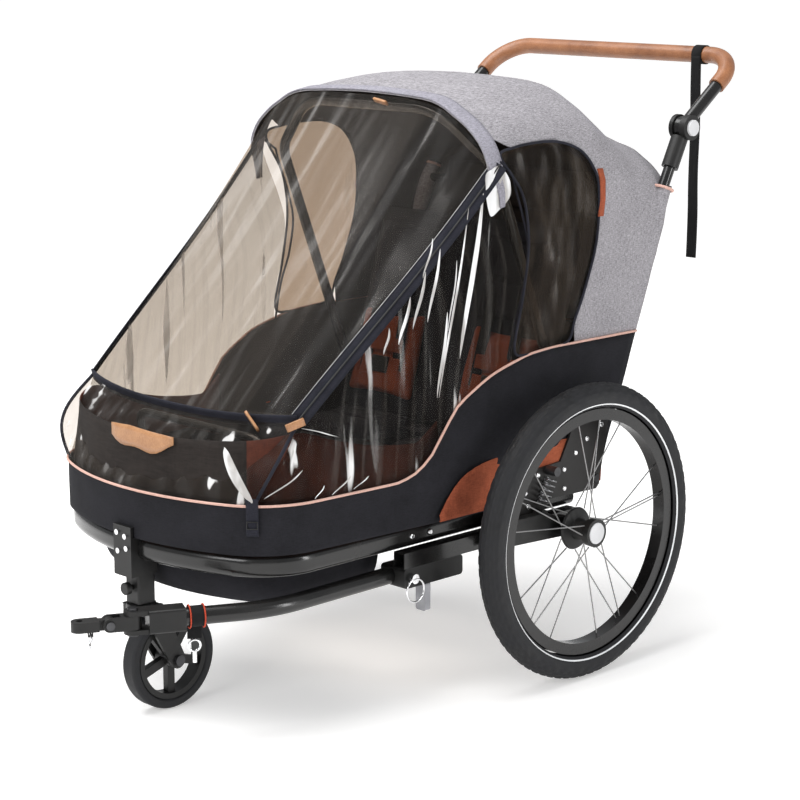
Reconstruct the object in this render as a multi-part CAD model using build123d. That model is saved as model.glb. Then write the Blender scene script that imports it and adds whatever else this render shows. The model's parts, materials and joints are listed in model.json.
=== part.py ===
from build123d import *
from math import atan2, cos, degrees, radians, sin, sqrt
import os

# Two-seat child bicycle trailer in its stroller setting, in millimetres.
# +X is the trailer's left, +Y its rear, +Z up. Shapes are drawn with Y = 0 at the rear axle,
# and moved back by ORIGIN_SHIFT when written, so that the origin is the centre of the box's base.
ORIGIN_SHIFT = 181.0

# Rear wheels
WHEEL_R = 250.0
TYRE_HALF = 23.0
WHEEL_X = 367.0
RIM_OUTER_R = 208.0
RIM_INNER_R = 189.0
RIM_HALF = 12.0
SPOKES = 20
SPOKE_R = 1.1
AXLE_R = 6.0
RUNNING_GAP = 0.05

# Floor frame: a flattened oval tube in a U round the nose
FRAME_SIDE_X = 268.0
FRAME_BOTTOM = 262.0
FRAME_TOP = 300.0
FRAME_WIDTH = 28.0
CORNER_R = 120.0
CORNER_Y = -519.0
NOSE_R = 478.0
FRAME_REAR_Y = 80.0

# Fabric body
FABRIC = 2.0
BODY_HALF = 294.0
BODY_TAPER_Y = -160.0
BODY_OFFSET = 6.0
FLOOR_Z = 300.5
PIPING_Z = 378.0
SEAM_Z = 552.0

# Folding frame
PIVOT_Y, PIVOT_Z = 98.0, 312.0
CUFF_Y, CUFF_Z = 284.0, 788.0
UPRIGHT_X = 281.0
UPRIGHT_R = 10.0
BOW_X = 260.0
BOW_R = 9.0
BOW_Y, BOW_Z = -148.0, 948.0
TOP_BAR_REACH = 490.0
EYE_R = 9.0

# Handlebar
KNUCKLE_Y, KNUCKLE_Z = 338.0, 893.0
BAR_Y, BAR_Z = 493.0, 1008.0
BAR_BEND_R = 65.0
BAR_R = 11.5
GRIP_R = 14.8

# Suspension arm
ARM_PIVOT_Y, ARM_PIVOT_Z = -150.0, 262.0

# Front caster
CASTER_Y = -650.0
FRONT_Y = -597.0
FRONT_R = 83.0

# Tow arm and hitch
TOW_X, TOW_Z = 250.0, 220.0
TOW_END = (180.0, -745.0)
TOW_TUBE_R = 14.0
HITCH_DIR = (-0.462, -0.887)

SIDES = (("left", 1), ("right", -1))
parts = {}


def box(x0, x1, y0, y1, z0, z1):
    """A box between two corners."""
    return Pos((x0 + x1) / 2, (y0 + y1) / 2, (z0 + z1) / 2) * Box(x1 - x0, y1 - y0, z1 - z0)


def rod_x(x0, x1, y, z, r):
    """A cylinder along X."""
    return Pos((x0 + x1) / 2, y, z) * Rot(0, 90, 0) * Cylinder(r, x1 - x0)


def rod_y(y0, y1, x, z, r):
    """A cylinder along Y."""
    return Pos(x, (y0 + y1) / 2, z) * Rot(90, 0, 0) * Cylinder(r, y1 - y0)


def rod_z(z0, z1, x, y, r):
    """A cylinder along Z."""
    return Pos(x, y, (z0 + z1) / 2) * Cylinder(r, z1 - z0)


def tube(path, r, bore=0.0):
    """A round tube, or a bar when it has no bore, along a path."""
    section = Circle(r) - Circle(bore) if bore else Circle(r)
    return sweep(Plane(origin=path @ 0, z_dir=path % 0) * section, path=path)


def side_plate(face_points, x0, x1):
    """A plate whose outline is given in Y and Z, between two X planes."""
    outline = make_face(Polyline(*[(0, y, z) for y, z in face_points], close=True))
    return Pos(x0, 0, 0) * extrude(outline, amount=x1 - x0, dir=(1, 0, 0))


def mirror_side(solid, side):
    """The left-hand solid, or its mirror image for the right-hand side."""
    return solid if side > 0 else mirror(solid, about=Plane.YZ)


# ---------------------------------------------------------------- plan outline of the floor frame

nose_centre_y = CORNER_Y + sqrt((NOSE_R - CORNER_R) ** 2 - (FRAME_SIDE_X - CORNER_R) ** 2)
corner_x = FRAME_SIDE_X - CORNER_R
sweep_angle = radians(90) - atan2(corner_x, nose_centre_y - CORNER_Y)


def corner_point(offset, angle):
    """A point on the left corner arc, at an angle turned from the side towards the nose."""
    r = CORNER_R + offset
    return corner_x + r * cos(angle), CORNER_Y - r * sin(angle)


def plan_edges(offset, rear_y, rear_half=None, taper_y=None):
    """The outline's edges, from the rear on the left, round the nose, to the rear on the right."""
    side = FRAME_SIDE_X + offset
    half = rear_half or side
    start = [(half, rear_y)] + ([(half, taper_y)] if taper_y is not None else []) + [(side, CORNER_Y)]
    mid = corner_point(offset, sweep_angle / 2)
    end = corner_point(offset, sweep_angle)
    nose = (0, nose_centre_y - NOSE_R - offset)
    edges = [Line(a, b) for a, b in zip(start, start[1:])]
    edges.append(ThreePointArc((side, CORNER_Y), mid, end))
    edges.append(ThreePointArc(end, nose, (-end[0], end[1])))
    edges.append(ThreePointArc((-end[0], end[1]), (-mid[0], mid[1]), (-side, CORNER_Y)))
    back = [(-x, y) for x, y in reversed(start)]
    edges += [Line(a, b) for a, b in zip(back, back[1:])]
    return edges


def plan_solid(offset, rear_y, z0, z1, rear_half=None, taper_y=None, taper=0.0):
    """The outline filled and raised from z0 to z1."""
    edges = plan_edges(offset, rear_y, rear_half, taper_y)
    half = rear_half or FRAME_SIDE_X + offset
    outline = make_face(edges + [Line((-half, rear_y), (half, rear_y))])
    return Pos(0, 0, z0) * extrude(outline, amount=z1 - z0, taper=taper)


# ---------------------------------------------------------------- floor frame

centre_path = Wire(plan_edges(-FRAME_WIDTH / 2, FRAME_REAR_Y))
frame_mid_z = (FRAME_BOTTOM + FRAME_TOP) / 2
frame_height = FRAME_TOP - FRAME_BOTTOM
centre_path = Pos(0, 0, frame_mid_z) * centre_path


def frame_section(wall):
    """The flattened oval section, as tall as the frame, less a wall all round."""
    oval = RectangleRounded(FRAME_WIDTH - 2 * wall, frame_height - 2 * wall, FRAME_WIDTH / 2 - wall - 0.1)
    return Plane(origin=centre_path @ 0, x_dir=(1, 0, 0), z_dir=(0, -1, 0)) * oval


frame_solid = sweep(frame_section(0), path=centre_path)
parts["floor_frame_tube"] = frame_solid - sweep(frame_section(2.0), path=centre_path)

frame_inner_x = FRAME_SIDE_X - FRAME_WIDTH
cross_tubes = []
for cross_y in (-305.0, -100.0, 60.0):
    bar = rod_x(-frame_inner_x - 4, frame_inner_x + 4, cross_y, frame_mid_z, 11)
    bore = rod_x(-frame_inner_x - 5, frame_inner_x + 5, cross_y, frame_mid_z, 9)
    cross_tubes.append(bar - bore - frame_solid)
parts["cross_tubes"] = Compound(cross_tubes)

RAIL_X0, RAIL_X1 = 262.0, 286.0
RAIL_TOP = FRAME_BOTTOM - 0.1
RAIL_BOTTOM = 236.0
rails = []
for _, side in SIDES:
    rail = box(RAIL_X0, RAIL_X1, -345, 70, RAIL_BOTTOM, RAIL_TOP)
    rail -= box(RAIL_X0 + 2, RAIL_X1 - 2, -346, 71, RAIL_BOTTOM + 2, RAIL_TOP - 2)
    rail -= rod_x(RAIL_X0 - 1, RAIL_X1 + 1, ARM_PIVOT_Y, 250, 5)
    rails.append(mirror_side(rail, side))
parts["side_rails"] = Compound(rails)

# ---------------------------------------------------------------- side plates and their fasteners

PLATE_X0, PLATE_X1 = 297.0, 301.0
PLATE_OUTLINE = [
    (-172, 240), (-172, 284), (-122, 306), (-98, 332), (-62, 352), (8, 356), (30, 395), (48, 440),
    (134, 440), (124, 373), (110, 318), (108, 300), (100, 293), (-20, 296), (-46, 262), (-60, 240),
]
PLATE_RIVETS = [
    (110, 404), (73, 385), (45, 365), (16, 341), (17, 308), (-49, 342), (-80, 316), (-73, 293), (-104, 272),
]
FRAME_BOLTS = [(-311, 281), (-270, 281)]
plates = []
for _, side in SIDES:
    plate = side_plate(PLATE_OUTLINE, PLATE_X0, PLATE_X1)
    plate -= rod_x(PLATE_X0 - 1, PLATE_X1 + 1, PIVOT_Y, PIVOT_Z, 5)
    plate -= rod_x(PLATE_X0 - 1, PLATE_X1 + 1, ARM_PIVOT_Y, ARM_PIVOT_Z, 8)
    plates.append(mirror_side(plate, side))
parts["side_plates"] = Compound(plates)


def button_head(x, y, z, r, height):
    """A low domed fastener head that stands on a face normal to X."""
    head = rod_x(x, x + height, y, z, r)
    return fillet(head.faces().sort_by(Axis.X)[-1].edges(), height * 0.7)


BRACKET_FRONT_Y = -684.0
BRACKET_RIVETS = [(-11, 306), (9, 302), (12, 283), (-9, 276)]
rivets = []
for _, side in SIDES:
    for y, z in PLATE_RIVETS:
        rivets.append(mirror_side(button_head(PLATE_X1, y, z, 4.5, 3), side))
    for y, z in FRAME_BOLTS:
        rivets.append(mirror_side(button_head(FRAME_SIDE_X, y, z, 5.0, 3), side))
for x, z in BRACKET_RIVETS:
    rivets.append(rod_y(BRACKET_FRONT_Y - 3, BRACKET_FRONT_Y, x, z, 4.5))
parts["rivets"] = Compound(rivets)

pivot_bolts = []
for _, side in SIDES:
    bolt = rod_x(BOW_X - BOW_R - 5, PLATE_X1, PIVOT_Y, PIVOT_Z, 5)
    bolt += rod_x(PLATE_X1, PLATE_X1 + 4, PIVOT_Y, PIVOT_Z, 7)
    pivot_bolts.append(mirror_side(bolt, side))
parts["fold_pivot_bolts"] = Compound(pivot_bolts)

# ---------------------------------------------------------------- fabric body, footwell and seat bench

upright_lean = atan2(CUFF_Y - PIVOT_Y, CUFF_Z - PIVOT_Z)
BACK_OFFSET = UPRIGHT_R + 1 + FABRIC


def back_y(z, inset=0.0):
    """The Y of the leaning back panel's outer face at a height, less an inset towards the front."""
    across = (BACK_OFFSET - inset) / cos(upright_lean)
    return PIVOT_Y + across + (z - PIVOT_Z) * (CUFF_Y - PIVOT_Y) / (CUFF_Z - PIVOT_Z)


def seam_edges(raise_by=0.0):
    """The body's upper edge: level along the nose, an S up to the seam, and level to the rear."""
    points = [(-350, 380), (-292, 407), (-258, 450), (-201, 502), (-108, 538), (15, SEAM_Z)]
    points = [(0, y, z + raise_by) for y, z in points]
    front = (0, -720, PIPING_Z + raise_by)
    curve = Spline(*points, tangents=((0, 1, 0.05), (0, 1, 0)))
    return [Line(front, points[0]), curve], front, points[-1]


def below_seam(bottom_z, raise_by, half, inset):
    """Everything under the upper edge and in front of the back panel."""
    edges, front, last = seam_edges(raise_by)
    top_z = SEAM_Z + raise_by
    rear_top = (0, back_y(top_z, inset), top_z)
    rear_bottom = (0, back_y(bottom_z, inset), bottom_z)
    front_bottom = (0, -720, bottom_z)
    edges += [
        Line(last, rear_top), Line(rear_top, rear_bottom),
        Line(rear_bottom, front_bottom), Line(front_bottom, front),
    ]
    return extrude(make_face(edges), amount=half, dir=(1, 0, 0), both=True)


FOOTWELL_REAR_Y = -325.0
FOOTWELL_DEPTH = 98.0
body_outer = below_seam(FLOOR_Z, 0, 320, 0) & plan_solid(
    BODY_OFFSET, 330, FLOOR_Z, SEAM_Z + 10, BODY_HALF, BODY_TAPER_Y
)
body_inner = below_seam(FLOOR_Z + FABRIC, 20, 320, FABRIC) & plan_solid(
    BODY_OFFSET - FABRIC, 330, FLOOR_Z + FABRIC, SEAM_Z + 40, BODY_HALF - FABRIC, BODY_TAPER_Y
)
floor_opening = plan_solid(-56, FOOTWELL_REAR_Y - 4, FLOOR_Z - 5, FLOOR_Z + 10)
body_shell = body_outer - body_inner - floor_opening
for _, side in SIDES:
    body_shell -= mirror_side(rod_x(BODY_HALF - 6, BODY_HALF + 4, PIVOT_Y, PIVOT_Z, 5.3), side)
parts["body_shell"] = body_shell

footwell_outer = plan_solid(-52, FOOTWELL_REAR_Y, 0, FOOTWELL_DEPTH, taper=9)
footwell_inner = plan_solid(-52 - FABRIC, FOOTWELL_REAR_Y - FABRIC, 0, FOOTWELL_DEPTH - FABRIC, taper=9)
parts["footwell"] = Pos(0, 0, FLOOR_Z - 0.5) * (footwell_outer - footwell_inner)

bench_face = [(-190, 304), (-196, 345), (-184, 366), (30, 354), (42, 340), (42, 304)]
bench = Pos(-240, 0, 0) * extrude(
    make_face(Polyline(*[(0, y, z) for y, z in bench_face], close=True)), amount=480, dir=(1, 0, 0)
)
parts["seat_bench"] = bench

# ---------------------------------------------------------------- canopy, windows and rain cover

DROOP = [
    (80, 2), (150, 7), (182, 15), (208, 28), (232, 41), (250, 54), (268, 71), (282, 94), (290, 120), (294, 152),
]
ROOF_LINE = [(-160, 967), (-60, 982), (40, 989), (95, 984), (150, 953), (215, 908), (290, 876), (345, 858)]


def roof_section(y, top, inset):
    """An upright slice of the cabin: level at the middle, drooping to steep sides."""
    half = BODY_HALF - inset
    right = [(x * half / BODY_HALF, y, top - inset - drop) for x, drop in DROOP]
    right.append((half, y, SEAM_Z - 40))
    left = [(-x, y, z) for x, y, z in reversed(right)]
    return make_face(Polyline(*left, *right, close=True))


def cabin(inset, front_y):
    """The space under the roof, cut off by the leaning back panel."""
    stations = [(front_y, ROOF_LINE[0][1])] + ROOF_LINE[1:]
    hull = loft([roof_section(y, top, inset) for y, top in stations], ruled=True)
    low, high = SEAM_Z - 60, 1100
    front = make_face(
        Polyline(
            (0, -200, low), (0, back_y(low, inset), low), (0, back_y(high, inset), high), (0, -200, high),
            close=True,
        )
    )
    return hull & extrude(front, amount=320, dir=(1, 0, 0), both=True)


def window_solid(shrink, x0, x1):
    """The side window's outline, rounded at the top and level at the seam."""
    s = shrink
    top = [(-112 + s, 858 - s), (-60, 890 - s), (10, 888 - s), (72 - s, 858 - s), (100 - s, 790)]
    lower = [(96 - s, 710), (66 - s, 635), (36 - s, 568 + s)]
    front = [(-104 + s, 568 + s), (-84 + s, 640), (-72 + s, 715), (-76 + s, 780)]
    curve = Spline(*[(0, y, z) for y, z in top + lower])
    rest = Polyline(*[(0, y, z) for y, z in [lower[-1]] + front + [top[0]]])
    face = make_face([curve] + list(rest.edges()))
    return Pos(x0, 0, 0) * extrude(face, amount=x1 - x0, dir=(1, 0, 0))


above_seam_cut = below_seam(200, 0.5, 330, -40)
canopy = cabin(0, -160) - cabin(FABRIC, -163) - above_seam_cut
windows = []
for _, side in SIDES:
    canopy -= mirror_side(window_solid(0, BODY_HALF - 8, BODY_HALF + 5), side)
    windows.append(mirror_side(window_solid(0.6, BODY_HALF - FABRIC, BODY_HALF), side))
parts["side_windows"] = Compound(windows)

CUFF_HOLE_R = 11.0
stem_path = FilletPolyline(
    (UPRIGHT_X, PIVOT_Y, PIVOT_Z), (UPRIGHT_X, CUFF_Y, CUFF_Z), (UPRIGHT_X, 327, 872), radius=[60]
)
cuff_hole = tube(stem_path, CUFF_HOLE_R) & box(200, 340, 200, 400, CUFF_Z - 70, 900)
for _, side in SIDES:
    canopy -= mirror_side(cuff_hole, side)
parts["canopy"] = canopy

BAND_Y, BAND_Z = -572.0, 492.0
NOSE_TIP_Y = -690.0
COVER = 1.5


def cover_section(y, half, top, droop, low):
    """An upright slice of the clear cover: flat at the middle, sloping at the corners."""
    right = [(half * x / BODY_HALF, top - droop * drop / DROOP[-1][1]) for x, drop in DROOP]
    ring = [(x, y, z) for x, z in right] + [(half, y, low), (-half, y, low)]
    ring += [(-x, y, z) for x, z in reversed(right)]
    return make_face(Polyline(*ring, close=True))


def cover_solid(inset, front_y):
    """The clear cover's outer shape: a taut slope to the nose band, then a skirt to the piping."""
    low = PIPING_Z - 2 * inset - 1
    slices = [
        cover_section(front_y, BODY_HALF - inset, ROOF_LINE[0][1] - inset, DROOP[-1][1], low),
        cover_section(BAND_Y, 268 - inset, BAND_Z - inset, 8, low),
        cover_section(NOSE_TIP_Y, 268 - inset, PIPING_Z + 4 - inset, 2, low),
    ]
    return loft(slices, ruled=True) & plan_solid(BODY_OFFSET + 4 - inset, -100, 300, 1000, BODY_HALF - inset)


cover = cover_solid(0, -160.6) - cover_solid(COVER, -159.0) - above_seam_cut
parts["rain_cover"] = cover

# ---------------------------------------------------------------- nose hoop

hoop_path = FilletPolyline(
    (238, -440, 308), (150, -528, 455), (-150, -528, 455), (-238, -440, 308), radius=[38, 38]
)
parts["nose_hoop"] = tube(hoop_path, 7, 5.5)

# ---------------------------------------------------------------- rear frame with its stems and knuckles

reach = sqrt((CUFF_Y - PIVOT_Y) ** 2 + (CUFF_Z - PIVOT_Z) ** 2)
up_y, up_z = (CUFF_Y - PIVOT_Y) / reach, (CUFF_Z - PIVOT_Z) / reach
stem_run = sqrt((KNUCKLE_Y - CUFF_Y) ** 2 + (KNUCKLE_Z - CUFF_Z) ** 2)
stem_y, stem_z = (KNUCKLE_Y - CUFF_Y) / stem_run, (KNUCKLE_Z - CUFF_Z) / stem_run
arm_run = sqrt((BAR_Y - KNUCKLE_Y) ** 2 + (BAR_Z - KNUCKLE_Z) ** 2)
arm_y, arm_z = (BAR_Y - KNUCKLE_Y) / arm_run, (BAR_Z - KNUCKLE_Z) / arm_run


def along(x, y, z, dy, dz, distance):
    """A point some way from (x, y, z) in a direction of the YZ plane."""
    return (x, y + dy * distance, z + dz * distance)


STEM_END = 30.0
uprights = []
for _, side in SIDES:
    path = FilletPolyline(
        along(UPRIGHT_X, PIVOT_Y, PIVOT_Z, up_y, up_z, 4),
        (UPRIGHT_X, CUFF_Y, CUFF_Z),
        along(UPRIGHT_X, KNUCKLE_Y, KNUCKLE_Z, -stem_y, -stem_z, STEM_END),
        radius=[60],
    )
    eye = rod_x(UPRIGHT_X - 6, UPRIGHT_X + 6, PIVOT_Y, PIVOT_Z, EYE_R)
    upright = tube(path, UPRIGHT_R, UPRIGHT_R - 2) + eye
    upright -= rod_x(UPRIGHT_X - 20, UPRIGHT_X + 20, PIVOT_Y, PIVOT_Z, 5 + RUNNING_GAP)
    uprights.append(mirror_side(upright, side))

bar_y, bar_z = PIVOT_Y + up_y * TOP_BAR_REACH, PIVOT_Z + up_z * TOP_BAR_REACH
bar_end = UPRIGHT_X
top_bar = rod_x(-bar_end, bar_end, bar_y, bar_z, 8) - rod_x(-bar_end - 1, bar_end + 1, bar_y, bar_z, 6.5)
solid_stem = tube(stem_path, UPRIGHT_R - 1)
for _, side in SIDES:
    top_bar -= mirror_side(solid_stem, side)
parts["rear_frame_tube"] = uprights[0] + uprights[1] + top_bar

CHEEK_R = 22.0
TANG_HALF = 7.0
knuckles = []
for name, side in SIDES:
    low = along(UPRIGHT_X, KNUCKLE_Y, KNUCKLE_Z, -stem_y, -stem_z, 76)
    high = along(UPRIGHT_X, KNUCKLE_Y, KNUCKLE_Z, -stem_y, -stem_z, 20)
    sleeve_path = Polyline(low, high)
    sleeve = tube(sleeve_path, 15)
    cheeks = rod_x(UPRIGHT_X - 15, UPRIGHT_X + 20, KNUCKLE_Y, KNUCKLE_Z, CHEEK_R)
    gap = rod_x(UPRIGHT_X - TANG_HALF - 0.3, UPRIGHT_X + TANG_HALF + 0.3, KNUCKLE_Y, KNUCKLE_Z, CHEEK_R + 1)
    knuckle = sleeve + cheeks - gap
    stem_hole = Polyline(
        along(UPRIGHT_X, KNUCKLE_Y, KNUCKLE_Z, -stem_y, -stem_z, 82),
        along(UPRIGHT_X, KNUCKLE_Y, KNUCKLE_Z, -stem_y, -stem_z, STEM_END - 0.2),
    )
    knuckle -= tube(stem_hole, UPRIGHT_R + 0.02)
    knuckle -= rod_x(UPRIGHT_X - 16, UPRIGHT_X + 12, KNUCKLE_Y, KNUCKLE_Z, 5)
    knuckle -= rod_x(UPRIGHT_X + 14.5, UPRIGHT_X + 21, KNUCKLE_Y, KNUCKLE_Z, 14)
    knuckles.append(mirror_side(knuckle, side))
    button = rod_x(UPRIGHT_X + 18.3, UPRIGHT_X + 25, KNUCKLE_Y, KNUCKLE_Z, 13.9)
    button = fillet(button.faces().sort_by(Axis.X)[-1].edges(), 1.5)
    parts[f"knuckle_button_{name}"] = mirror_side(button, side)
parts["stem_knuckles"] = Compound(knuckles)
parts["knuckle_bolts"] = Compound(
    [mirror_side(rod_x(UPRIGHT_X - 15, UPRIGHT_X + 12, KNUCKLE_Y, KNUCKLE_Z, 5), s) for _, s in SIDES]
)

# ---------------------------------------------------------------- handlebar

ARM_START = CHEEK_R + 2
bar_path = FilletPolyline(
    along(UPRIGHT_X, KNUCKLE_Y, KNUCKLE_Z, arm_y, arm_z, ARM_START),
    (UPRIGHT_X, BAR_Y, BAR_Z),
    (-UPRIGHT_X, BAR_Y, BAR_Z),
    along(-UPRIGHT_X, KNUCKLE_Y, KNUCKLE_Z, arm_y, arm_z, ARM_START),
    radius=[BAR_BEND_R, BAR_BEND_R],
)
bar_tube = tube(bar_path, BAR_R, BAR_R - 2)
tangs = []
for _, side in SIDES:
    disc = rod_x(UPRIGHT_X - TANG_HALF, UPRIGHT_X + TANG_HALF, KNUCKLE_Y, KNUCKLE_Z, 19)
    neck_path = Polyline(
        (UPRIGHT_X, KNUCKLE_Y, KNUCKLE_Z), along(UPRIGHT_X, KNUCKLE_Y, KNUCKLE_Z, arm_y, arm_z, ARM_START + 1)
    )
    neck = tube(neck_path, BAR_R) & box(UPRIGHT_X - TANG_HALF, UPRIGHT_X + TANG_HALF, 300, 420, 850, 960)
    tang = disc + neck - rod_x(UPRIGHT_X - 20, UPRIGHT_X + 20, KNUCKLE_Y, KNUCKLE_Z, 5 + RUNNING_GAP)
    tangs.append(mirror_side(tang, side))
parts["handlebar_tube"] = bar_tube + tangs[0] + tangs[1]

GRIP_START = 112.0
grip_path = FilletPolyline(
    along(UPRIGHT_X, KNUCKLE_Y, KNUCKLE_Z, arm_y, arm_z, GRIP_START),
    (UPRIGHT_X, BAR_Y, BAR_Z),
    (-UPRIGHT_X, BAR_Y, BAR_Z),
    along(-UPRIGHT_X, KNUCKLE_Y, KNUCKLE_Z, arm_y, arm_z, GRIP_START),
    radius=[BAR_BEND_R, BAR_BEND_R],
)
parts["leather_grip"] = tube(grip_path, GRIP_R, BAR_R + 0.02)

STRAP_X = 196.0
strap_loop = rod_x(STRAP_X - 10, STRAP_X + 10, BAR_Y, BAR_Z, GRIP_R + 2)
strap_loop -= rod_x(STRAP_X - 11, STRAP_X + 11, BAR_Y, BAR_Z, GRIP_R + 0.02)
strap_tail = box(STRAP_X - 10, STRAP_X + 10, BAR_Y - GRIP_R - 2, BAR_Y - GRIP_R - 0.02, 640, BAR_Z)
parts["wrist_strap"] = strap_loop + strap_tail

# ---------------------------------------------------------------- front bow

bow_run = sqrt((BOW_Y - PIVOT_Y) ** 2 + (BOW_Z - PIVOT_Z) ** 2)
bow_dy, bow_dz = (BOW_Y - PIVOT_Y) / bow_run, (BOW_Z - PIVOT_Z) / bow_run


def bow_point(x, distance):
    """A point of the bow's plane, some way up from the pivot."""
    return along(x, PIVOT_Y, PIVOT_Z, bow_dy, bow_dz, distance)


bow_half = [bow_point(BOW_X, 4), bow_point(BOW_X, bow_run - 104), bow_point(158, bow_run - 4)]
bow_path = FilletPolyline(
    *bow_half, *[(-x, y, z) for x, y, z in reversed(bow_half)], radius=[60, 120, 120, 60]
)
bow = tube(bow_path, BOW_R, BOW_R - 1.5)
for _, side in SIDES:
    eye = rod_x(BOW_X - 6, BOW_X + 6, PIVOT_Y, PIVOT_Z, EYE_R)
    bow += mirror_side(eye, side)
    bow -= mirror_side(rod_x(BOW_X - 20, BOW_X + 12, PIVOT_Y, PIVOT_Z, 5 + RUNNING_GAP), side)
parts["front_bow"] = bow

# ---------------------------------------------------------------- seat back, pads and harness

SEAT_HINGE_Y, SEAT_HINGE_Z = 20.0, 378.0
SEAT_HALF = 236.0
SEAT_HEIGHT = 360.0
SEAT_LEAN = 17.0
seat_frame = Pos(0, SEAT_HINGE_Y, SEAT_HINGE_Z) * Rot(-SEAT_LEAN, 0, 0)


def seat_box(x0, x1, y0, y1, z0, z1, r=0.0):
    """A box drawn upright at the seat's hinge, leaned back with the seat."""
    solid = box(x0, x1, y0, y1, z0, z1)
    if r:
        solid = fillet(solid.edges().filter_by(Axis.Y), r)
    return seat_frame * solid


seat_edge = rod_x(-SEAT_HALF, SEAT_HALF, SEAT_HINGE_Y, SEAT_HINGE_Z, 12)
parts["seat_back"] = seat_box(-SEAT_HALF, SEAT_HALF, -12, 12, 0, SEAT_HEIGHT) + seat_edge
PAD_X, PAD_HALF = 136.0, 86.0
pads = []
straps = []
buckles = []
for _, s in SIDES:
    pads.append(seat_box(s * PAD_X - PAD_HALF, s * PAD_X + PAD_HALF, -30, -12.2, 14, 345, 40))
    for offset in (-38, 38):
        x = s * PAD_X + offset
        straps.append(seat_box(x - 12, x + 12, -32.5, -30.2, 96, 300))
    buckles.append(seat_box(s * PAD_X - 24, s * PAD_X + 24, -42, -30.2, 52, 92, 8))
parts["seat_pads"] = Compound(pads)
parts["harness_straps"] = Compound(straps + buckles)

# ---------------------------------------------------------------- rear wheels, hubs and suspension


def wheel_local(face):
    """A section drawn with X as radius and Y as axle, turned round the axle, which is then local Z."""
    return revolve(Plane.XZ * face, Axis.Z)


def at_wheel(solid, side):
    """Puts a solid with its axle along Z at a rear wheel, with local +Z outboard."""
    return Pos(side * WHEEL_X, 0, WHEEL_R) * Rot(0, 90 * side, 0) * solid


tyre_mid_r = WHEEL_R - TYRE_HALF
tyre_face = Pos(tyre_mid_r, 0) * (Circle(TYRE_HALF) - Circle(TYRE_HALF - 4))
tyre_face -= Pos(RIM_OUTER_R - 10, 0) * Rectangle(28, 2 * RIM_HALF)
rim_face = Pos((RIM_OUTER_R + RIM_INNER_R) / 2, 0) * Rectangle(RIM_OUTER_R - RIM_INNER_R, 2 * RIM_HALF - 0.1)
rim_face -= Pos(RIM_OUTER_R, 0) * Rectangle(18, 2 * RIM_HALF - 6)
BIG_FLANGE_Z = -24.0
hub_outline = [
    (AXLE_R + RUNNING_GAP, -28), (20, -28), (34, -27), (36, -24), (34, -21), (19, -17),
    (16, 2), (20, 6), (23, 8), (24, 23), (18.3, 23), (18.3, 15), (AXLE_R + RUNNING_GAP, 15),
]
hub_face = make_face(Polyline(*hub_outline, close=True))
for name, side in SIDES:
    parts[f"tyre_{name}"] = at_wheel(wheel_local(tyre_face), side)
    parts[f"rim_{name}"] = at_wheel(wheel_local(rim_face), side)
    parts[f"hub_{name}"] = at_wheel(wheel_local(hub_face), side)
    spokes = []
    for i in range(SPOKES):
        wide = i % 2 == 0
        flange_r = 37.2 if wide else 25.2
        flange_z = BIG_FLANGE_Z if wide else 13.0
        angle = 360 / SPOKES * i
        lean = 26 if i % 4 < 2 else -26
        start = Vector(flange_r, 0, flange_z).rotate(Axis.Z, angle)
        end = Vector(RIM_INNER_R - 0.2, 0, -1.5 if wide else 1.5).rotate(Axis.Z, angle + lean)
        run = end - start
        half_way = start + run * 0.5
        spoke = Plane(origin=half_way, z_dir=run) * Cylinder(SPOKE_R, run.length)
        spokes.append(at_wheel(spoke, side))
    parts[f"spokes_{name}"] = Compound(spokes)

AXLE_IN, AXLE_OUT = 306.0, WHEEL_X + 14.8
ARM_X0, ARM_X1 = 305.0, 323.0
for name, side in SIDES:
    axle = rod_x(AXLE_IN, AXLE_OUT, 0, WHEEL_R, AXLE_R)
    axle -= rod_x(AXLE_OUT - 18, AXLE_OUT + 1, 0, WHEEL_R, 3 + RUNNING_GAP)
    parts[f"axle_{name}"] = mirror_side(axle, side)
    disc = rod_x(WHEEL_X + 18.5, WHEEL_X + 24.5, 0, WHEEL_R, 18)
    disc = fillet(disc.faces().sort_by(Axis.X)[-1].edges(), 1.2)
    plunger = rod_x(AXLE_OUT - 13, WHEEL_X + 19, 0, WHEEL_R, 3)
    parts[f"axle_button_{name}"] = mirror_side(disc + plunger, side)

    ends = [(ARM_PIVOT_Y, ARM_PIVOT_Z, 21.0), (0.0, WHEEL_R, 17.0)]
    bosses = [rod_x(ARM_X0, ARM_X1, y, z, r) for y, z, r in ends]
    web_face = [(ARM_PIVOT_Y, 283), (-52, 281), (-4, 266), (-4, 234), (ARM_PIVOT_Y, 241)]
    web = side_plate(web_face, ARM_X0, ARM_X1)
    arm = bosses[0] + bosses[1] + web + rod_x(ARM_X1 - 1, WHEEL_X - 28.5, 0, WHEEL_R, 14)
    seat = rod_x(ARM_X0, ARM_X1, -56, 278, 10)
    arm = arm + seat
    arm -= rod_x(ARM_X0 - 5, WHEEL_X, 0, WHEEL_R, AXLE_R)
    arm -= rod_x(ARM_X0 - 5, ARM_X1 + 5, ARM_PIVOT_Y, ARM_PIVOT_Z, 8 + RUNNING_GAP)
    parts[f"swing_arm_{name}"] = mirror_side(arm, side)

arm_pivots = []
for _, side in SIDES:
    pin = rod_x(RAIL_X1, ARM_X1 + 1, ARM_PIVOT_Y, ARM_PIVOT_Z, 8)
    pin = pin & box(PLATE_X0, 400, -200, -100, 200, 300)
    head = rod_x(ARM_X1 + 1, ARM_X1 + 5, ARM_PIVOT_Y, ARM_PIVOT_Z, 13)
    spacer = rod_x(RAIL_X1, PLATE_X0, ARM_PIVOT_Y, 250, 9)
    arm_pivots.append(mirror_side(pin + head, side))
    arm_pivots.append(mirror_side(spacer, side))

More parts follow.
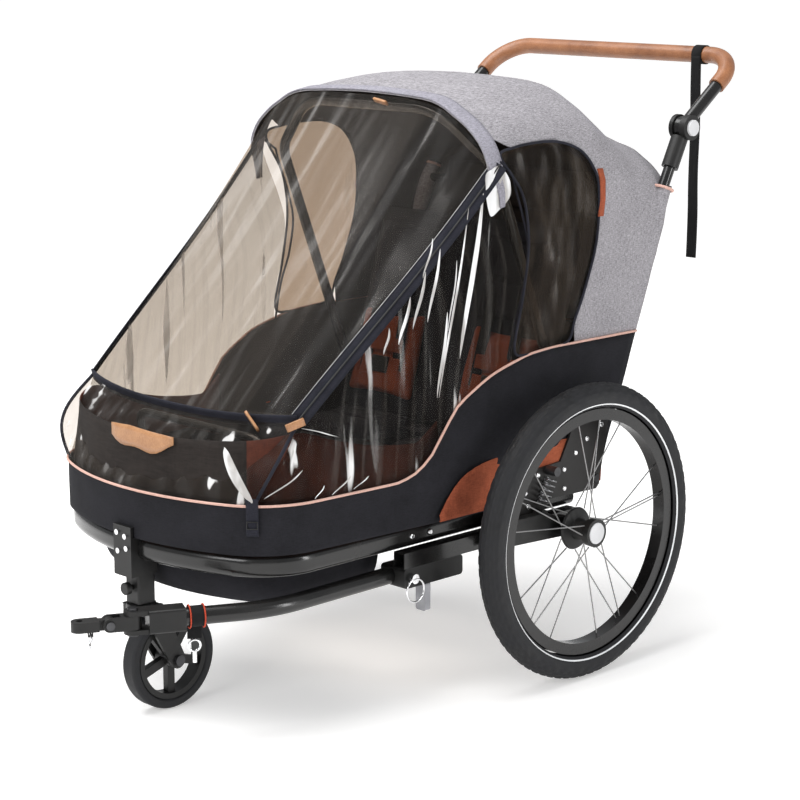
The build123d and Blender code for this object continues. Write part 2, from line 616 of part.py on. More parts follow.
SPRING_BOTTOM = (-56.0, 290.0)
SPRING_TOP = (-28.0, 340.0)
COIL_R, WIRE_R, TURNS = 9.5, 1.7, 5
spring_run = sqrt((SPRING_TOP[0] - SPRING_BOTTOM[0]) ** 2 + (SPRING_TOP[1] - SPRING_BOTTOM[1]) ** 2)
spring_lean = degrees(atan2(SPRING_TOP[0] - SPRING_BOTTOM[0], SPRING_TOP[1] - SPRING_BOTTOM[1]))
coil_path = Helix(pitch=(spring_run - 6) / TURNS, height=spring_run - 6, radius=COIL_R)
coil = sweep(Plane(origin=coil_path @ 0, z_dir=coil_path % 0) * Circle(WIRE_R), path=coil_path, is_frenet=True)
for name, side in SIDES:
    place = Pos(314, SPRING_BOTTOM[0], SPRING_BOTTOM[1]) * Rot(-spring_lean, 0, 0)
    parts[f"spring_{name}"] = mirror_side(place * Pos(0, 0, 3) * coil, side)
for _, side in SIDES:
    perch = rod_x(PLATE_X1, ARM_X1, SPRING_TOP[0] + 4, SPRING_TOP[1] + 7, 8)
    arm_pivots.append(mirror_side(perch, side))
parts["suspension_pins"] = Compound(arm_pivots)

# ---------------------------------------------------------------- front caster

BRACKET_HALF = 22.0
bracket = box(-BRACKET_HALF, BRACKET_HALF, BRACKET_FRONT_Y, -678.4, 236, 318)
bracket += box(-BRACKET_HALF, BRACKET_HALF, BRACKET_FRONT_Y, -633, 236, FRAME_BOTTOM)
bracket += box(-BRACKET_HALF, BRACKET_HALF, BRACKET_FRONT_Y, -660, FRAME_BOTTOM, FRAME_TOP)
bracket -= frame_solid

POST_HALF = 17.0
POST_BOTTOM = 188.0
post = box(-POST_HALF, POST_HALF, CASTER_Y - POST_HALF, CASTER_Y + POST_HALF, POST_BOTTOM, 236)
post = fillet(post.edges().filter_by(Axis.Z), 4)
post -= rod_z(POST_BOTTOM - 1, 230, 0, CASTER_Y, 8 + RUNNING_GAP)
KNOB_Z = 214.0
post -= rod_y(CASTER_Y - 18, CASTER_Y - 8, 0, KNOB_Z, 4 + RUNNING_GAP)
parts["nose_bracket"] = bracket + post

knob = rod_y(CASTER_Y - POST_HALF - 16, CASTER_Y - POST_HALF - 7, 0, KNOB_Z, 10)
knob = fillet(knob.faces().sort_by(Axis.Y)[0].edges(), 2)
knob += rod_y(CASTER_Y - POST_HALF - 8, CASTER_Y - 9, 0, KNOB_Z, 4)
parts["release_knob"] = knob

FORK_X0, FORK_X1 = 19.5, 25.5
stem = rod_z(180, 229, 0, CASTER_Y, 8)
crown = rod_z(170, 186, 0, CASTER_Y, 24) + box(-FORK_X1, FORK_X1, CASTER_Y - 16, CASTER_Y + 22, 170, 184)
fork = stem + crown
for _, side in SIDES:
    leg_face = [(-668, 184), (-626, 184), (-583, 88), (-590, 71), (-604, 71), (-614, 84)]
    leg = side_plate(leg_face, FORK_X0, FORK_X1)
    leg += rod_x(FORK_X0, FORK_X1, FRONT_Y, FRONT_R, 14)
    fork += mirror_side(leg, side)
fork -= rod_x(-30, 30, FRONT_Y, FRONT_R, 5)
parts["caster_fork"] = fork


def at_front(solid):
    """Puts a solid with its axle along Z at the front wheel."""
    return Pos(0, FRONT_Y, FRONT_R) * Rot(0, 90, 0) * solid


FRONT_TYRE_IN = 67.0
front_tyre_face = Pos((FRONT_R + FRONT_TYRE_IN) / 2, 0) * RectangleRounded(FRONT_R - FRONT_TYRE_IN, 31, 6)
parts["front_tyre"] = at_front(wheel_local(front_tyre_face))
ring = Pos((FRONT_TYRE_IN + 58) / 2, 0) * Rectangle(FRONT_TYRE_IN - 58, 26)
barrel = Pos((14 + 5.05) / 2, 0) * Rectangle(14 - 5.05, 36)
front_rim = wheel_local(ring) + wheel_local(barrel)
for i in range(5):
    spoke = box(12, 59.5, -7, 7, -6, 6)
    front_rim += Rot(0, 0, 72 * i) * spoke
front_rim -= Cylinder(5 + RUNNING_GAP, 60)
parts["front_rim"] = at_front(front_rim)
front_axle = rod_x(-FORK_X1 - 4, FORK_X1 + 4, FRONT_Y, FRONT_R, 5)
for _, side in SIDES:
    front_axle += mirror_side(rod_x(FORK_X1, FORK_X1 + 6, FRONT_Y, FRONT_R, 9), side)
parts["front_axle"] = front_axle

# ---------------------------------------------------------------- tow arm, receiver and hitch

TOW_ROOT_Y = -290.0
tow_path = FilletPolyline(
    (TOW_X, TOW_ROOT_Y, TOW_Z), (256, -599, TOW_Z), (*TOW_END, TOW_Z), radius=[230]
)
tow_solid = tube(tow_path, TOW_TUBE_R)
parts["tow_arm_tube"] = tow_solid - tube(tow_path, TOW_TUBE_R - 2.5)

receiver = box(232, 286, -345, -212, 203, RAIL_BOTTOM)
receiver = fillet(receiver.edges().filter_by(Axis.X), 6)
receiver -= tow_solid
receiver -= rod_x(225, 290, -330, TOW_Z, 4)
receiver -= box(244, 256, -288, -226, 200, 226)
parts["tow_receiver"] = receiver
lock_pin = rod_x(224, 292, -330, TOW_Z, 4) + rod_x(292, 297, -330, TOW_Z, 8) - tow_solid
lock_pin = lock_pin.solids().sort_by(Axis.X)[-1]
lock_ring = Pos(296, -330, TOW_Z - 19) * Rot(0, 90, 0) * Torus(19, 1.6)
parts["lock_pin"] = lock_pin + lock_ring

REFLECTOR = (262.0, 284.0, -296.0, -284.0, 156.0, 203.0)
reflector = box(*REFLECTOR)
parts["reflector"] = fillet(reflector.edges().filter_by(Axis.Y), 4)

hitch_plane = Plane(origin=(*TOW_END, TOW_Z), x_dir=(*HITCH_DIR, 0), z_dir=(0, 0, 1))


def at_hitch(solid):
    """Puts a solid drawn with X forward from the tow arm's end at the hitch."""
    return hitch_plane.location * solid


YAW_U, PITCH_U, TIP_U = 48.0, 84.0, 128.0
clamp = box(-30, 26, -18, 18, -18, 18)
clamp = fillet(clamp.edges().filter_by(Axis.X), 4)
for w in (-1, 1):
    ear = box(26, YAW_U, -14, 14, min(11 * w, 18 * w), max(11 * w, 18 * w))
    ear += Pos(YAW_U, 0, 14.5 * w) * Cylinder(14, 7)
    clamp += ear
clamp -= Pos(YAW_U, 0, 0) * Cylinder(5, 60)
parts["coupler_clamp"] = at_hitch(clamp) - tow_solid

block = box(YAW_U, PITCH_U - 17, -13, 13, -10.6, 10.6) + Pos(YAW_U, 0, 0) * Cylinder(13, 21.2)
for v in (-1, 1):
    lug = box(PITCH_U - 20, PITCH_U, min(7 * v, 13 * v), max(7 * v, 13 * v), -10.6, 10.6)
    lug += Pos(PITCH_U, 10 * v, 0) * Rot(90, 0, 0) * Cylinder(10.6, 6)
    block += lug
block -= Pos(YAW_U, 0, 0) * Cylinder(5 + RUNNING_GAP, 60)
block -= Pos(PITCH_U, 0, 0) * Rot(90, 0, 0) * Cylinder(4, 60)
parts["coupler_block"] = at_hitch(block)

yaw_bolt = Cylinder(5, 36) + Pos(0, 0, 20) * Cylinder(8, 4) + Pos(0, 0, -20) * Cylinder(8, 4)
parts["yaw_bolt"] = at_hitch(Pos(YAW_U, 0, 0) * yaw_bolt)
pitch_bolt = Cylinder(4, 26) + Pos(0, 0, 15) * Cylinder(6.5, 4) + Pos(0, 0, -15) * Cylinder(6.5, 4)
parts["pitch_bolt"] = at_hitch(Pos(PITCH_U, 0, 0) * Rot(90, 0, 0) * pitch_bolt)

HITCH_BORE_R = 5.0
RING_U = TIP_U - 16
RING_R = 12.0
tongue = Pos(PITCH_U, 0, 0) * Rot(90, 0, 0) * Cylinder(10, 13.4)
tongue += box(PITCH_U, TIP_U, -6.7, 6.7, -8, 8)
tongue += box(PITCH_U + 16, TIP_U, -13, 13, -8, 8) + Pos(TIP_U, 0, 0) * Cylinder(13, 16)
tongue -= Pos(PITCH_U, 0, 0) * Rot(90, 0, 0) * Cylinder(4 + RUNNING_GAP, 60)
tongue -= Pos(TIP_U, 0, 0) * Cylinder(HITCH_BORE_R, 60)
tongue += box(RING_U - 4, RING_U + 4, -2.5, 2.5, -18, -8)
tongue -= Pos(RING_U, 0, -13) * Rot(90, 0, 0) * Cylinder(2.4, 60)
parts["hitch_tongue"] = at_hitch(tongue)
parts["hitch_ring"] = at_hitch(Pos(RING_U, 0, -13 - RING_R) * Rot(0, 90, 0) * Torus(RING_R, 1.5))

STRAP_U = -48.0
loop = Pos(STRAP_U, 0, 0) * Rot(0, 90, 0) * (Cylinder(TOW_TUBE_R + 2.2, 22) - Cylinder(TOW_TUBE_R + 0.1, 30))
tail = box(STRAP_U - 11, STRAP_U + 11, -TOW_TUBE_R - 2.2, -TOW_TUBE_R - 0.1, -40, 0)
parts["safety_strap"] = at_hitch(loop + tail)
hook = Pos(STRAP_U, -15.2, -51.2) * Rot(90, 0, 0) * Torus(9, 1.8)
hook_body = Pos(STRAP_U, -15.2, -69) * Cylinder(3.2, 18)
parts["snap_hook"] = at_hitch(hook + hook_body)

# ---------------------------------------------------------------- write each node

os.makedirs("parts", exist_ok=True)
for name, solid in parts.items():
    export_step(Pos(0, ORIGIN_SHIFT, 0) * solid, f"parts/{name}.step")
print(len(parts), "nodes")
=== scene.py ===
import json
from math import atan2, cos, hypot, pi, radians, sin, sqrt

import bmesh
import bpy
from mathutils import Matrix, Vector, noise


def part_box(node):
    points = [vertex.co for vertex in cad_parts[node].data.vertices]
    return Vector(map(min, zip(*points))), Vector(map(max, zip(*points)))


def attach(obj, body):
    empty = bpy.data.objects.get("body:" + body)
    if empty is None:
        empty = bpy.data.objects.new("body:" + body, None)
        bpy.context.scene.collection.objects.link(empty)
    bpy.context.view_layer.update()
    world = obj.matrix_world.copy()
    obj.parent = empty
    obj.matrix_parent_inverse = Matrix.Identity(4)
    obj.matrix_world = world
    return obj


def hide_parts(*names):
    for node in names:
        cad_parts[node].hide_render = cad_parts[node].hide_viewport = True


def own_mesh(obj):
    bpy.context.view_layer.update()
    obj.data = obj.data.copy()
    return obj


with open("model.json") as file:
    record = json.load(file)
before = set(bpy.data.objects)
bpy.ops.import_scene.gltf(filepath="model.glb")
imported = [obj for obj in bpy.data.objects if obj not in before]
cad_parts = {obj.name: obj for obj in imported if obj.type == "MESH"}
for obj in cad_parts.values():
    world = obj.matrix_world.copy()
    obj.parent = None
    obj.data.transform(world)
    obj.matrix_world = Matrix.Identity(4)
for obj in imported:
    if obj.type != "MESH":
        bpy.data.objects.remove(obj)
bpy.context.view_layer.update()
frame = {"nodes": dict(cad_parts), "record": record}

# Shapes are drawn in millimetres with Y = 0 at the rear axle, as in the CAD, and placed by at().
SHIFT = 181.0
LEFT, RIGHT = 1, -1
names = {LEFT: "left", RIGHT: "right"}


def at(x, y, z):
    """A point given in millimetres from the rear axle, in the row frame's metres."""
    return Vector((x / 1000, (y + SHIFT) / 1000, z / 1000))


def smooth(points):
    """A monotone cubic through (x, y) points, as a function of x."""
    xs = [p[0] for p in points]
    ys = [p[1] for p in points]
    rises = [(b - a) / (d - c) for a, b, c, d in zip(ys, ys[1:], xs, xs[1:])]
    slopes = [rises[0]] + [0 if a * b <= 0 else 2 * a * b / (a + b) for a, b in zip(rises, rises[1:])]
    slopes.append(rises[-1])

    def value(x):
        x = min(max(x, xs[0]), xs[-1])
        i = 0
        while i < len(xs) - 2 and xs[i + 1] < x:
            i += 1
        h = xs[i + 1] - xs[i]
        t = (x - xs[i]) / h
        start = (1 + 2 * t) * (1 - t) ** 2 * ys[i] + t * (1 - t) ** 2 * h * slopes[i]
        return start + t * t * (3 - 2 * t) * ys[i + 1] + t * t * (t - 1) * h * slopes[i + 1]

    return value


def mix(a, b, t):
    return a + (b - a) * t


def between(low, high, x):
    """Where x lies from low to high, kept from 0 to 1 and eased at both ends. low may be the larger."""
    t = min(max((x - low) / (high - low), 0.0), 1.0)
    return t * t * (3 - 2 * t)


def fold_noise(x, y, z, scale):
    """Smooth noise from about -1 to 1, at a feature size given in millimetres."""
    return noise.noise(Vector((x / scale, y / scale, z / scale)))


# ---- materials


class Tree:
    """A material with short ways to add and link its nodes."""

    def __init__(self, name):
        self.material = bpy.data.materials.new(name)
        self.material.use_nodes = True
        self.nodes = self.material.node_tree.nodes
        self.links = self.material.node_tree.links
        self.shader = self.nodes["Principled BSDF"]
        self.out = self.nodes["Material Output"]
        self.place = self.nodes.new("ShaderNodeTexCoord").outputs["Object"]

    def add(self, kind, inputs=(), **settings):
        n = self.nodes.new(kind)
        for key, value in settings.items():
            setattr(n, key, value)
        for key, value in dict(inputs).items():
            if isinstance(value, bpy.types.NodeSocket):
                self.links.new(value, n.inputs[key])
            else:
                n.inputs[key].default_value = value
        return n

    def stretched(self, scale):
        """Object coordinates, stretched so that a pattern is long where the scale is small."""
        return self.add("ShaderNodeMapping", {"Vector": self.place, "Scale": scale}).outputs["Vector"]

    def grain(self, scale, stretch=(1, 1, 1), detail=4.0, rough=0.6):
        """A noise pattern's value."""
        inputs = {"Vector": self.stretched(stretch), "Scale": scale, "Detail": detail, "Roughness": rough}
        return self.add("ShaderNodeTexNoise", inputs).outputs["Fac"]

    def cells(self, scale, stretch=(1, 1, 1), feature="F1"):
        """A cell pattern's distance."""
        inputs = {"Vector": self.stretched(stretch), "Scale": scale}
        return self.add("ShaderNodeTexVoronoi", inputs, feature=feature).outputs["Distance"]

    def maths(self, operation, a, b=0.0):
        return self.add("ShaderNodeMath", {0: a, 1: b}, operation=operation).outputs[0]

    def ramp(self, value, low, high, start=0.3, end=0.7):
        """A colour that runs from low to high as a value does from start to end."""
        n = self.add("ShaderNodeValToRGB", {"Fac": value})
        n.color_ramp.elements[0].position = start
        n.color_ramp.elements[0].color = (*low, 1)
        n.color_ramp.elements[1].position = end
        n.color_ramp.elements[1].color = (*high, 1)
        return n.outputs["Color"]

    def spread(self, value, low, high):
        """A value's 0.3 to 0.7 mapped to low and high."""
        inputs = {"Value": value, "From Min": 0.3, "From Max": 0.7, "To Min": low, "To Max": high}
        return self.add("ShaderNodeMapRange", inputs).outputs["Result"]

    def set(self, **values):
        """Values for the Principled shader's own sockets."""
        for key, value in values.items():
            socket = self.shader.inputs[key.replace("_", " ")]
            if isinstance(value, bpy.types.NodeSocket):
                self.links.new(value, socket)
            else:
                socket.default_value = value
        return self

    def bump(self, height, strength, distance):
        n = self.add("ShaderNodeBump", {"Height": height, "Strength": strength, "Distance": distance})
        self.links.new(n.outputs["Normal"], self.shader.inputs["Normal"])
        return self


def hard(name, low, high, rough, metal=0.0, size=120.0, bump=0.15, depth=0.0003, coat=0.0, shine=0.35):
    """Painted, moulded or plated material: slight colour change, uneven gloss and a fine surface grain."""
    t = Tree(name)
    patch = t.grain(size * 0.12, detail=3)
    fine = t.grain(size * 9, detail=3)
    t.set(Base_Color=t.ramp(patch, low, high), Roughness=t.spread(patch, *rough), Metallic=metal)
    t.set(Coat_Weight=coat, Coat_Roughness=0.12, Specular_IOR_Level=shine)
    return t.bump(fine, bump, depth).material


def cloth(name, low, high, thread=900.0, streaks=0.35, rough=(0.82, 0.95), bump=0.35, sheen=0.0, shine=0.2):
    """Woven fabric: threads both ways, streaks along them, a weave's relief and a soft sheen."""
    t = Tree(name)
    warp = t.grain(thread, (1, 1, 0.12), detail=3, rough=0.7)
    weft = t.grain(thread, (0.15, 0.15, 1), detail=3, rough=0.7)
    broad = t.grain(14, detail=4)
    threads = t.maths("ADD", t.maths("MULTIPLY", warp, 0.5), t.maths("MULTIPLY", weft, 0.5))
    shade = t.maths("ADD", t.maths("MULTIPLY", threads, 1 - streaks), t.maths("MULTIPLY", broad, streaks))
    t.set(Base_Color=t.ramp(shade, low, high, 0.38, 0.62), Roughness=t.spread(warp, *rough))
    t.set(Sheen_Weight=sheen, Sheen_Roughness=0.5, Specular_IOR_Level=shine)
    return t.bump(threads, bump, 0.0005).material


def leather(name, low, high):
    """Leather: large soft colour patches, pebbled grain and a waxed surface."""
    t = Tree(name)
    patch = t.grain(22, detail=5)
    pebbles = t.cells(520, feature="SMOOTH_F1")
    shade = t.maths("ADD", t.maths("MULTIPLY", patch, 0.8), t.maths("MULTIPLY", pebbles, 0.25))
    t.set(Base_Color=t.ramp(shade, low, high, 0.3, 0.75), Roughness=t.spread(patch, 0.34, 0.5))
    t.set(Coat_Weight=0.15, Coat_Roughness=0.3)
    return t.bump(pebbles, 0.5, 0.0005).material


def film(name, tint, haze, glance, streak_stretch, streaks, glare_from, crease=0.25):
    """Clear plastic sheet: tints what is behind it, hazes a little, and has painted highlight streaks: a
    fixed noise pattern whitens it in patches along stretched lines.
    """
    t = Tree(name)
    creases = t.grain(24, streak_stretch, detail=3)
    lines = t.grain(46, streak_stretch, detail=1.5, rough=0.4)
    where = t.grain(5.5, detail=1)
    # Painted highlight streaks: stretched noise lines, cut off sharply and gathered in patches, whiten the
    # sheet as glare would
    inputs = {"Value": lines, "From Min": glare_from, "From Max": glare_from + 0.045,
              "To Min": 0, "To Max": streaks}
    painted_glare = t.add("ShaderNodeMapRange", inputs).outputs["Result"]
    inputs = {"Value": where, "From Min": 0.42, "From Max": 0.58, "To Min": 0.1, "To Max": 1}
    patches = t.add("ShaderNodeMapRange", inputs).outputs["Result"]
    inputs = {"Height": creases, "Strength": crease, "Distance": 0.004}
    normal = t.add("ShaderNodeBump", inputs).outputs["Normal"]
    edge = t.add("ShaderNodeLayerWeight", {"Blend": 0.25, "Normal": normal}).outputs["Fresnel"]
    cover = t.maths("ADD", t.maths("MULTIPLY", painted_glare, patches), t.maths("MULTIPLY", edge, glance))
    cover = t.maths("MINIMUM", t.maths("ADD", cover, haze), 0.95)
    clear = t.add("ShaderNodeBsdfTransparent", {"Color": (*tint, 1)}).outputs[0]
    # The sheet's colour runs from grey to near white along the same lines: painted highlight
    t.set(Base_Color=t.ramp(lines, (0.5, 0.48, 0.46), (0.95, 0.95, 0.95), 0.45, 0.6), Roughness=0.12)
    t.links.new(normal, t.shader.inputs["Normal"])
    both = t.add("ShaderNodeMixShader", {"Fac": cover, 1: clear, 2: t.shader.outputs[0]}).outputs[0]
    t.links.new(both, t.out.inputs["Surface"])
    return t.material


M = {
    "tube": hard("gloss_black_tube", (0.005, 0.005, 0.005), (0.011, 0.0105, 0.01), (0.16, 0.28), coat=0.25),
    "casting": hard("black_casting", (0.005, 0.005, 0.005), (0.013, 0.0125, 0.012), (0.36, 0.52), bump=0.3),
    "plate": hard("black_plate", (0.0055, 0.0048, 0.0045), (0.012, 0.0105, 0.01), (0.34, 0.5), size=80),
    "rim": hard("satin_black_rim", (0.005, 0.0048, 0.0048), (0.012, 0.011, 0.011), (0.22, 0.34), coat=0.2),
    "chrome": hard("bright_steel", (0.66, 0.66, 0.67), (0.86, 0.86, 0.87), (0.12, 0.24), 1.0, bump=0.05),
    "steel": hard("dark_steel", (0.035, 0.035, 0.037), (0.09, 0.09, 0.094), (0.28, 0.42), 0.9, bump=0.1),
    "spring_steel": hard("spring_steel", (0.12, 0.12, 0.125), (0.3, 0.3, 0.31), (0.2, 0.32), 0.95, bump=0.05),
    "spoke": hard("grey_spoke", (0.2, 0.2, 0.205), (0.34, 0.335, 0.33), (0.28, 0.4), 0.85, bump=0.05),
    "silver": hard("grey_button", (0.5, 0.5, 0.51), (0.64, 0.64, 0.65), (0.35, 0.5), bump=0.1),
    "rubber": hard("tyre_rubber", (0.0055, 0.0056, 0.0066), (0.015, 0.0152, 0.0175), (0.55, 0.8),
                   size=260, bump=0.5),
    "stripe": hard("reflective_stripe", (0.62, 0.63, 0.64), (0.86, 0.87, 0.88), (0.3, 0.45), bump=0.1),
    "reflector": hard("clear_reflector", (0.2, 0.2, 0.215), (0.62, 0.62, 0.65), (0.08, 0.2),
                      size=70, coat=1.0),
    "melange": cloth("grey_melange", (0.125, 0.118, 0.128), (0.42, 0.404, 0.425), thread=1000, streaks=0.08),
    "hem": cloth("grey_hem", (0.15, 0.143, 0.168), (0.37, 0.36, 0.405), thread=1100, streaks=0.08),
    "charcoal": cloth("charcoal_cloth", (0.0065, 0.0065, 0.0082), (0.0175, 0.0172, 0.0215), thread=900),
    "lining": cloth("brown_lining", (0.011, 0.0086, 0.0075), (0.026, 0.021, 0.0185), thread=300, bump=0.05),
    "orange": cloth("rust_cloth", (0.16, 0.036, 0.016), (0.4, 0.105, 0.05), thread=800, streaks=0.45),
    # Painted shade: a darker copy of the rust cloth, for the seat pads inside the cabin
    "shaded_seat_rust": cloth("seat_rust_painted_shade", (0.085, 0.02, 0.009), (0.24, 0.06, 0.028),
                        thread=800, streaks=0.45),
    "rust_lining": cloth("rust_lining", (0.028, 0.009, 0.006), (0.09, 0.027, 0.016), thread=700, streaks=0.5),
    "piping": cloth("peach_piping", (0.46, 0.27, 0.22), (0.72, 0.47, 0.4), thread=1200, streaks=0.2),
    "webbing": cloth("black_webbing", (0.0045, 0.0045, 0.0048), (0.013, 0.0128, 0.0135),
                     thread=1500, bump=0.8),
    "red": cloth("red_edging", (0.3, 0.03, 0.014), (0.55, 0.08, 0.04), thread=1500),
    "navy": cloth("navy_binding", (0.0085, 0.0087, 0.0125), (0.026, 0.0265, 0.037), thread=1100),
    "tan": leather("tan_tab", (0.26, 0.11, 0.04), (0.5, 0.26, 0.12)),
    "grip": leather("brown_grip", (0.17, 0.06, 0.022), (0.38, 0.16, 0.068)),
    # The fifth and sixth values of each sheet set its painted highlight streaks: how strongly, and above
    # which noise value, it is whitened
    "cover": film("clear_cover", (0.86, 0.82, 0.78), 0.015, 0.03, (1, 0.1, 0.1), 0.05, 0.6, 0.06),
    # The side's tint is darker than the cover's: painted shade on the cabin seen through it
    "side": film("clear_side", (0.74, 0.72, 0.69), 0.006, 0.05, (1, 1, 0.07), 0.7, 0.64, 0.15),
    "skirt": film("clear_skirt", (0.82, 0.79, 0.76), 0.012, 0.03, (1, 1, 0.25), 0.5, 0.645, 0.08),
    "smoke": film("smoked_window", (0.64, 0.57, 0.5), 0.012, 0.06, (1, 1, 0.3), 0.06, 0.6, 0.1),
    # Near-white, nearly opaque film: painted highlights for glare along the film's creases
    "glint": film("painted_glint_film", (0.95, 0.95, 0.95), 0.8, 0.2, (1, 1, 0.2), 0.1, 0.6),
}

SLOT_LOOK = {
    "black_tube": "tube", "black_casting": "casting", "black_plate": "plate", "bright_steel": "chrome",
    "dark_steel": "steel", "silver_aluminium": "silver", "grey_plastic": "silver", "tyre_rubber": "rubber",
    "charcoal_fabric": "charcoal", "grey_melange_fabric": "melange", "orange_fabric": "orange",
    "tinted_film": "smoke", "clear_film": "cover", "clear_plastic": "reflector",
    "brown_leather": "grip", "black_webbing": "webbing",
}
NODE_LOOK = {"rim": "rim", "spokes": "spoke"}
slot_of = {s["node"]: s["material_slot"] for s in frame["record"]["subparts"]}
for name, obj in frame["nodes"].items():
    look = NODE_LOOK.get(name.split("_")[0], SLOT_LOOK[slot_of[name]])
    for s in obj.material_slots:
        s.link = "OBJECT"
        s.material = M[look]

# ---- mesh helpers


def place(obj, body, slot, *replaced):
    """Puts a piece on its body and hides the CAD nodes that it stands for."""
    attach(obj, body)
    if replaced:
        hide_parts(*replaced)
    return obj


def flatten(obj, height, keep):
    """Gives a piece its own copy of its mesh. height and keep are not used."""
    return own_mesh(obj)


def crumple(obj, slot, *replaced):
    """A soft piece of the cabin, put on the chassis."""
    return flatten(place(obj, "chassis", slot, *replaced), 0.4, 0.44)


def settle(obj, slot, *replaced):
    """A soft piece of the tub, put on the chassis."""
    return flatten(place(obj, "chassis", slot, *replaced), FLOOR_Z / 1000, 0.75)


def solid(name, vertices, faces, looks, shade=True):
    """A mesh object from points in metres."""
    mesh = bpy.data.meshes.new(name)
    mesh.from_pydata([tuple(v) for v in vertices], [], faces)
    for look in looks:
        mesh.materials.append(M[look])
    if shade:
        mesh.polygons.foreach_set("use_smooth", [True] * len(mesh.polygons))
    obj = bpy.data.objects.new(name, mesh)
    bpy.context.collection.objects.link(obj)
    return obj


def grid(name, rows, looks, closed=False):
    """A sheet through rows of points. closed joins each row's end to its start."""
    wide = len(rows[0])
    faces = []
    for i in range(len(rows) - 1):
        for j in range(wide if closed else wide - 1):
            k = (j + 1) % wide
            faces.append((i * wide + j, i * wide + k, (i + 1) * wide + k, (i + 1) * wide + j))
    return solid(name, [p for row in rows for p in row], faces, looks)


def freeze(obj):
    """Applies the modifiers."""
    bpy.context.view_layer.update()
    graph = bpy.context.evaluated_depsgraph_get()
    mesh = bpy.data.meshes.new_from_object(obj.evaluated_get(graph))
    obj.modifiers.clear()
    obj.data = mesh
    return obj


def clean(obj, merge=0.0002):
    """Joins points that coincide and turns the faces outwards."""
    bm = bmesh.new()
    bm.from_mesh(obj.data)
    bmesh.ops.remove_doubles(bm, verts=bm.verts, dist=merge)
    bmesh.ops.dissolve_degenerate(bm, edges=bm.edges, dist=merge)
    bmesh.ops.recalc_face_normals(bm, faces=bm.faces)
    bm.to_mesh(obj.data)
    bm.free()
    return obj


def thicken(obj, thickness, offset=0.0, inner=0):
    """Gives a sheet a thickness in metres. inner is how many material slots the far face is moved by."""
    m = obj.modifiers.new("thick", "SOLIDIFY")
    m.thickness = thickness
    m.offset = offset
    m.material_offset = inner
    m.use_even_offset = False
    return freeze(obj)


def pipe(name, points, radius, look, cyclic=False):
    """A round cord or tube through points in metres, as a mesh."""
    curve = bpy.data.curves.new(name, "CURVE")
    curve.dimensions = "3D"
    curve.bevel_depth = radius
    curve.bevel_resolution = 3
    curve.use_fill_caps = True
    line = curve.splines.new("POLY")
    line.points.add(len(points) - 1)
    for target, p in zip(line.points, points):
        target.co = (*p, 1)
    line.use_cyclic_u = cyclic
    curve.materials.append(M[look])
    drawn = bpy.data.objects.new("drawn", curve)
    bpy.context.collection.objects.link(drawn)
    bpy.context.view_layer.update()
    obj = bpy.data.objects.new(name, bpy.data.meshes.new_from_object(drawn))
    bpy.data.objects.remove(drawn)
    bpy.context.collection.objects.link(obj)
    return obj


def ribbon(name, points, across, width, thickness, look):
    """A flat strap along points, its width along the vector that across gives for each point's index."""
    rows = []
    for i, p in enumerate(points):
        side = across(i).normalized() * width / 2
        rows.append([p - side, p - side * 0.5, p, p + side * 0.5, p + side])
    return thicken(grid(name, rows, [look]), thickness)


def bevelled(obj, width=0.0012, segments=2):
    m = obj.modifiers.new("edge", "BEVEL")
    m.width = width
    m.segments = segments
    m.limit_method = "ANGLE"
    return freeze(obj)


def block(name, low, high, look, width=0.0015):
    """A block with rounded edges between two corners in metres."""
    corners = [(x, y, z) for x in (low[0], high[0]) for y in (low[1], high[1]) for z in (low[2], high[2])]
    faces = [(0, 1, 3, 2), (4, 6, 7, 5), (0, 4, 5, 1), (2, 3, 7, 6), (0, 2, 6, 4), (1, 5, 7, 3)]
    return bevelled(solid(name, corners, faces, [look]), width, 3)


# ---- outlines shared by the fabric pieces

SIDE_X = 268.0
CORNER_R, CORNER_Y, NOSE_R = 120.0, -519.0, 478.0
corner_x = SIDE_X - CORNER_R
nose_y = CORNER_Y + sqrt((NOSE_R - CORNER_R) ** 2 - corner_x**2)
corner_turn = pi / 2 - atan2(corner_x, nose_y - CORNER_Y)
BODY_HALF, SEAM_Z, PIPING_Z, FLOOR_Z = 294.0, 552.0, 378.0, 300.5
PIVOT_Y, PIVOT_Z, LEAN = 98.0, 312.0, 186.0 / 476.0


def back_y(z, inset=0.0):
    """The leaning back panel's Y at a height."""
    return PIVOT_Y + (13 - inset) * hypot(1, LEAN) + (z - PIVOT_Z) * LEAN


def front_plan(offset, t):
    """The plan outline's left half from the corner's start, t = 0, to the middle of the nose, t = 1."""
    first = (CORNER_R + offset) * corner_turn
    second = (NOSE_R + offset) * (pi / 2 - corner_turn)
    run = t * (first + second)
    if run < first:
        a = run / (CORNER_R + offset)
        return corner_x + (CORNER_R + offset) * cos(a), CORNER_Y - (CORNER_R + offset) * sin(a)
    a = corner_turn + (run - first) / (NOSE_R + offset)
    return (NOSE_R + offset) * cos(a), nose_y - (NOSE_R + offset) * sin(a)


upper_edge = smooth([
    (-700, 378), (-365, 378.5), (-330, 385), (-292, 407), (-258, 450), (-230, 484), (-201, 502), (-155, 525),
    (-108, 538), (-59, 548), (15, 552), (400, 552),
])


def edge_z(y):
    """The height of the dark body's upper edge."""
    return upper_edge(y)


def body_line(z, offset=6.0, inset=0.0):
    """The body's outline at a height, from the middle of the back, by the left side, to the nose's middle."""
    half = BODY_HALF - inset
    rear = back_y(z, inset)
    side = SIDE_X + offset - inset
    points = [(half * k / 8, rear) for k in range(8)]
    points += [(half, mix(rear, -160, k / 22)) for k in range(22)]
    points += [(mix(half, side, k / 20), mix(-160, CORNER_Y, k / 20)) for k in range(20)]
    points += [front_plan(offset - inset, k / 26) for k in range(27)]
    return points


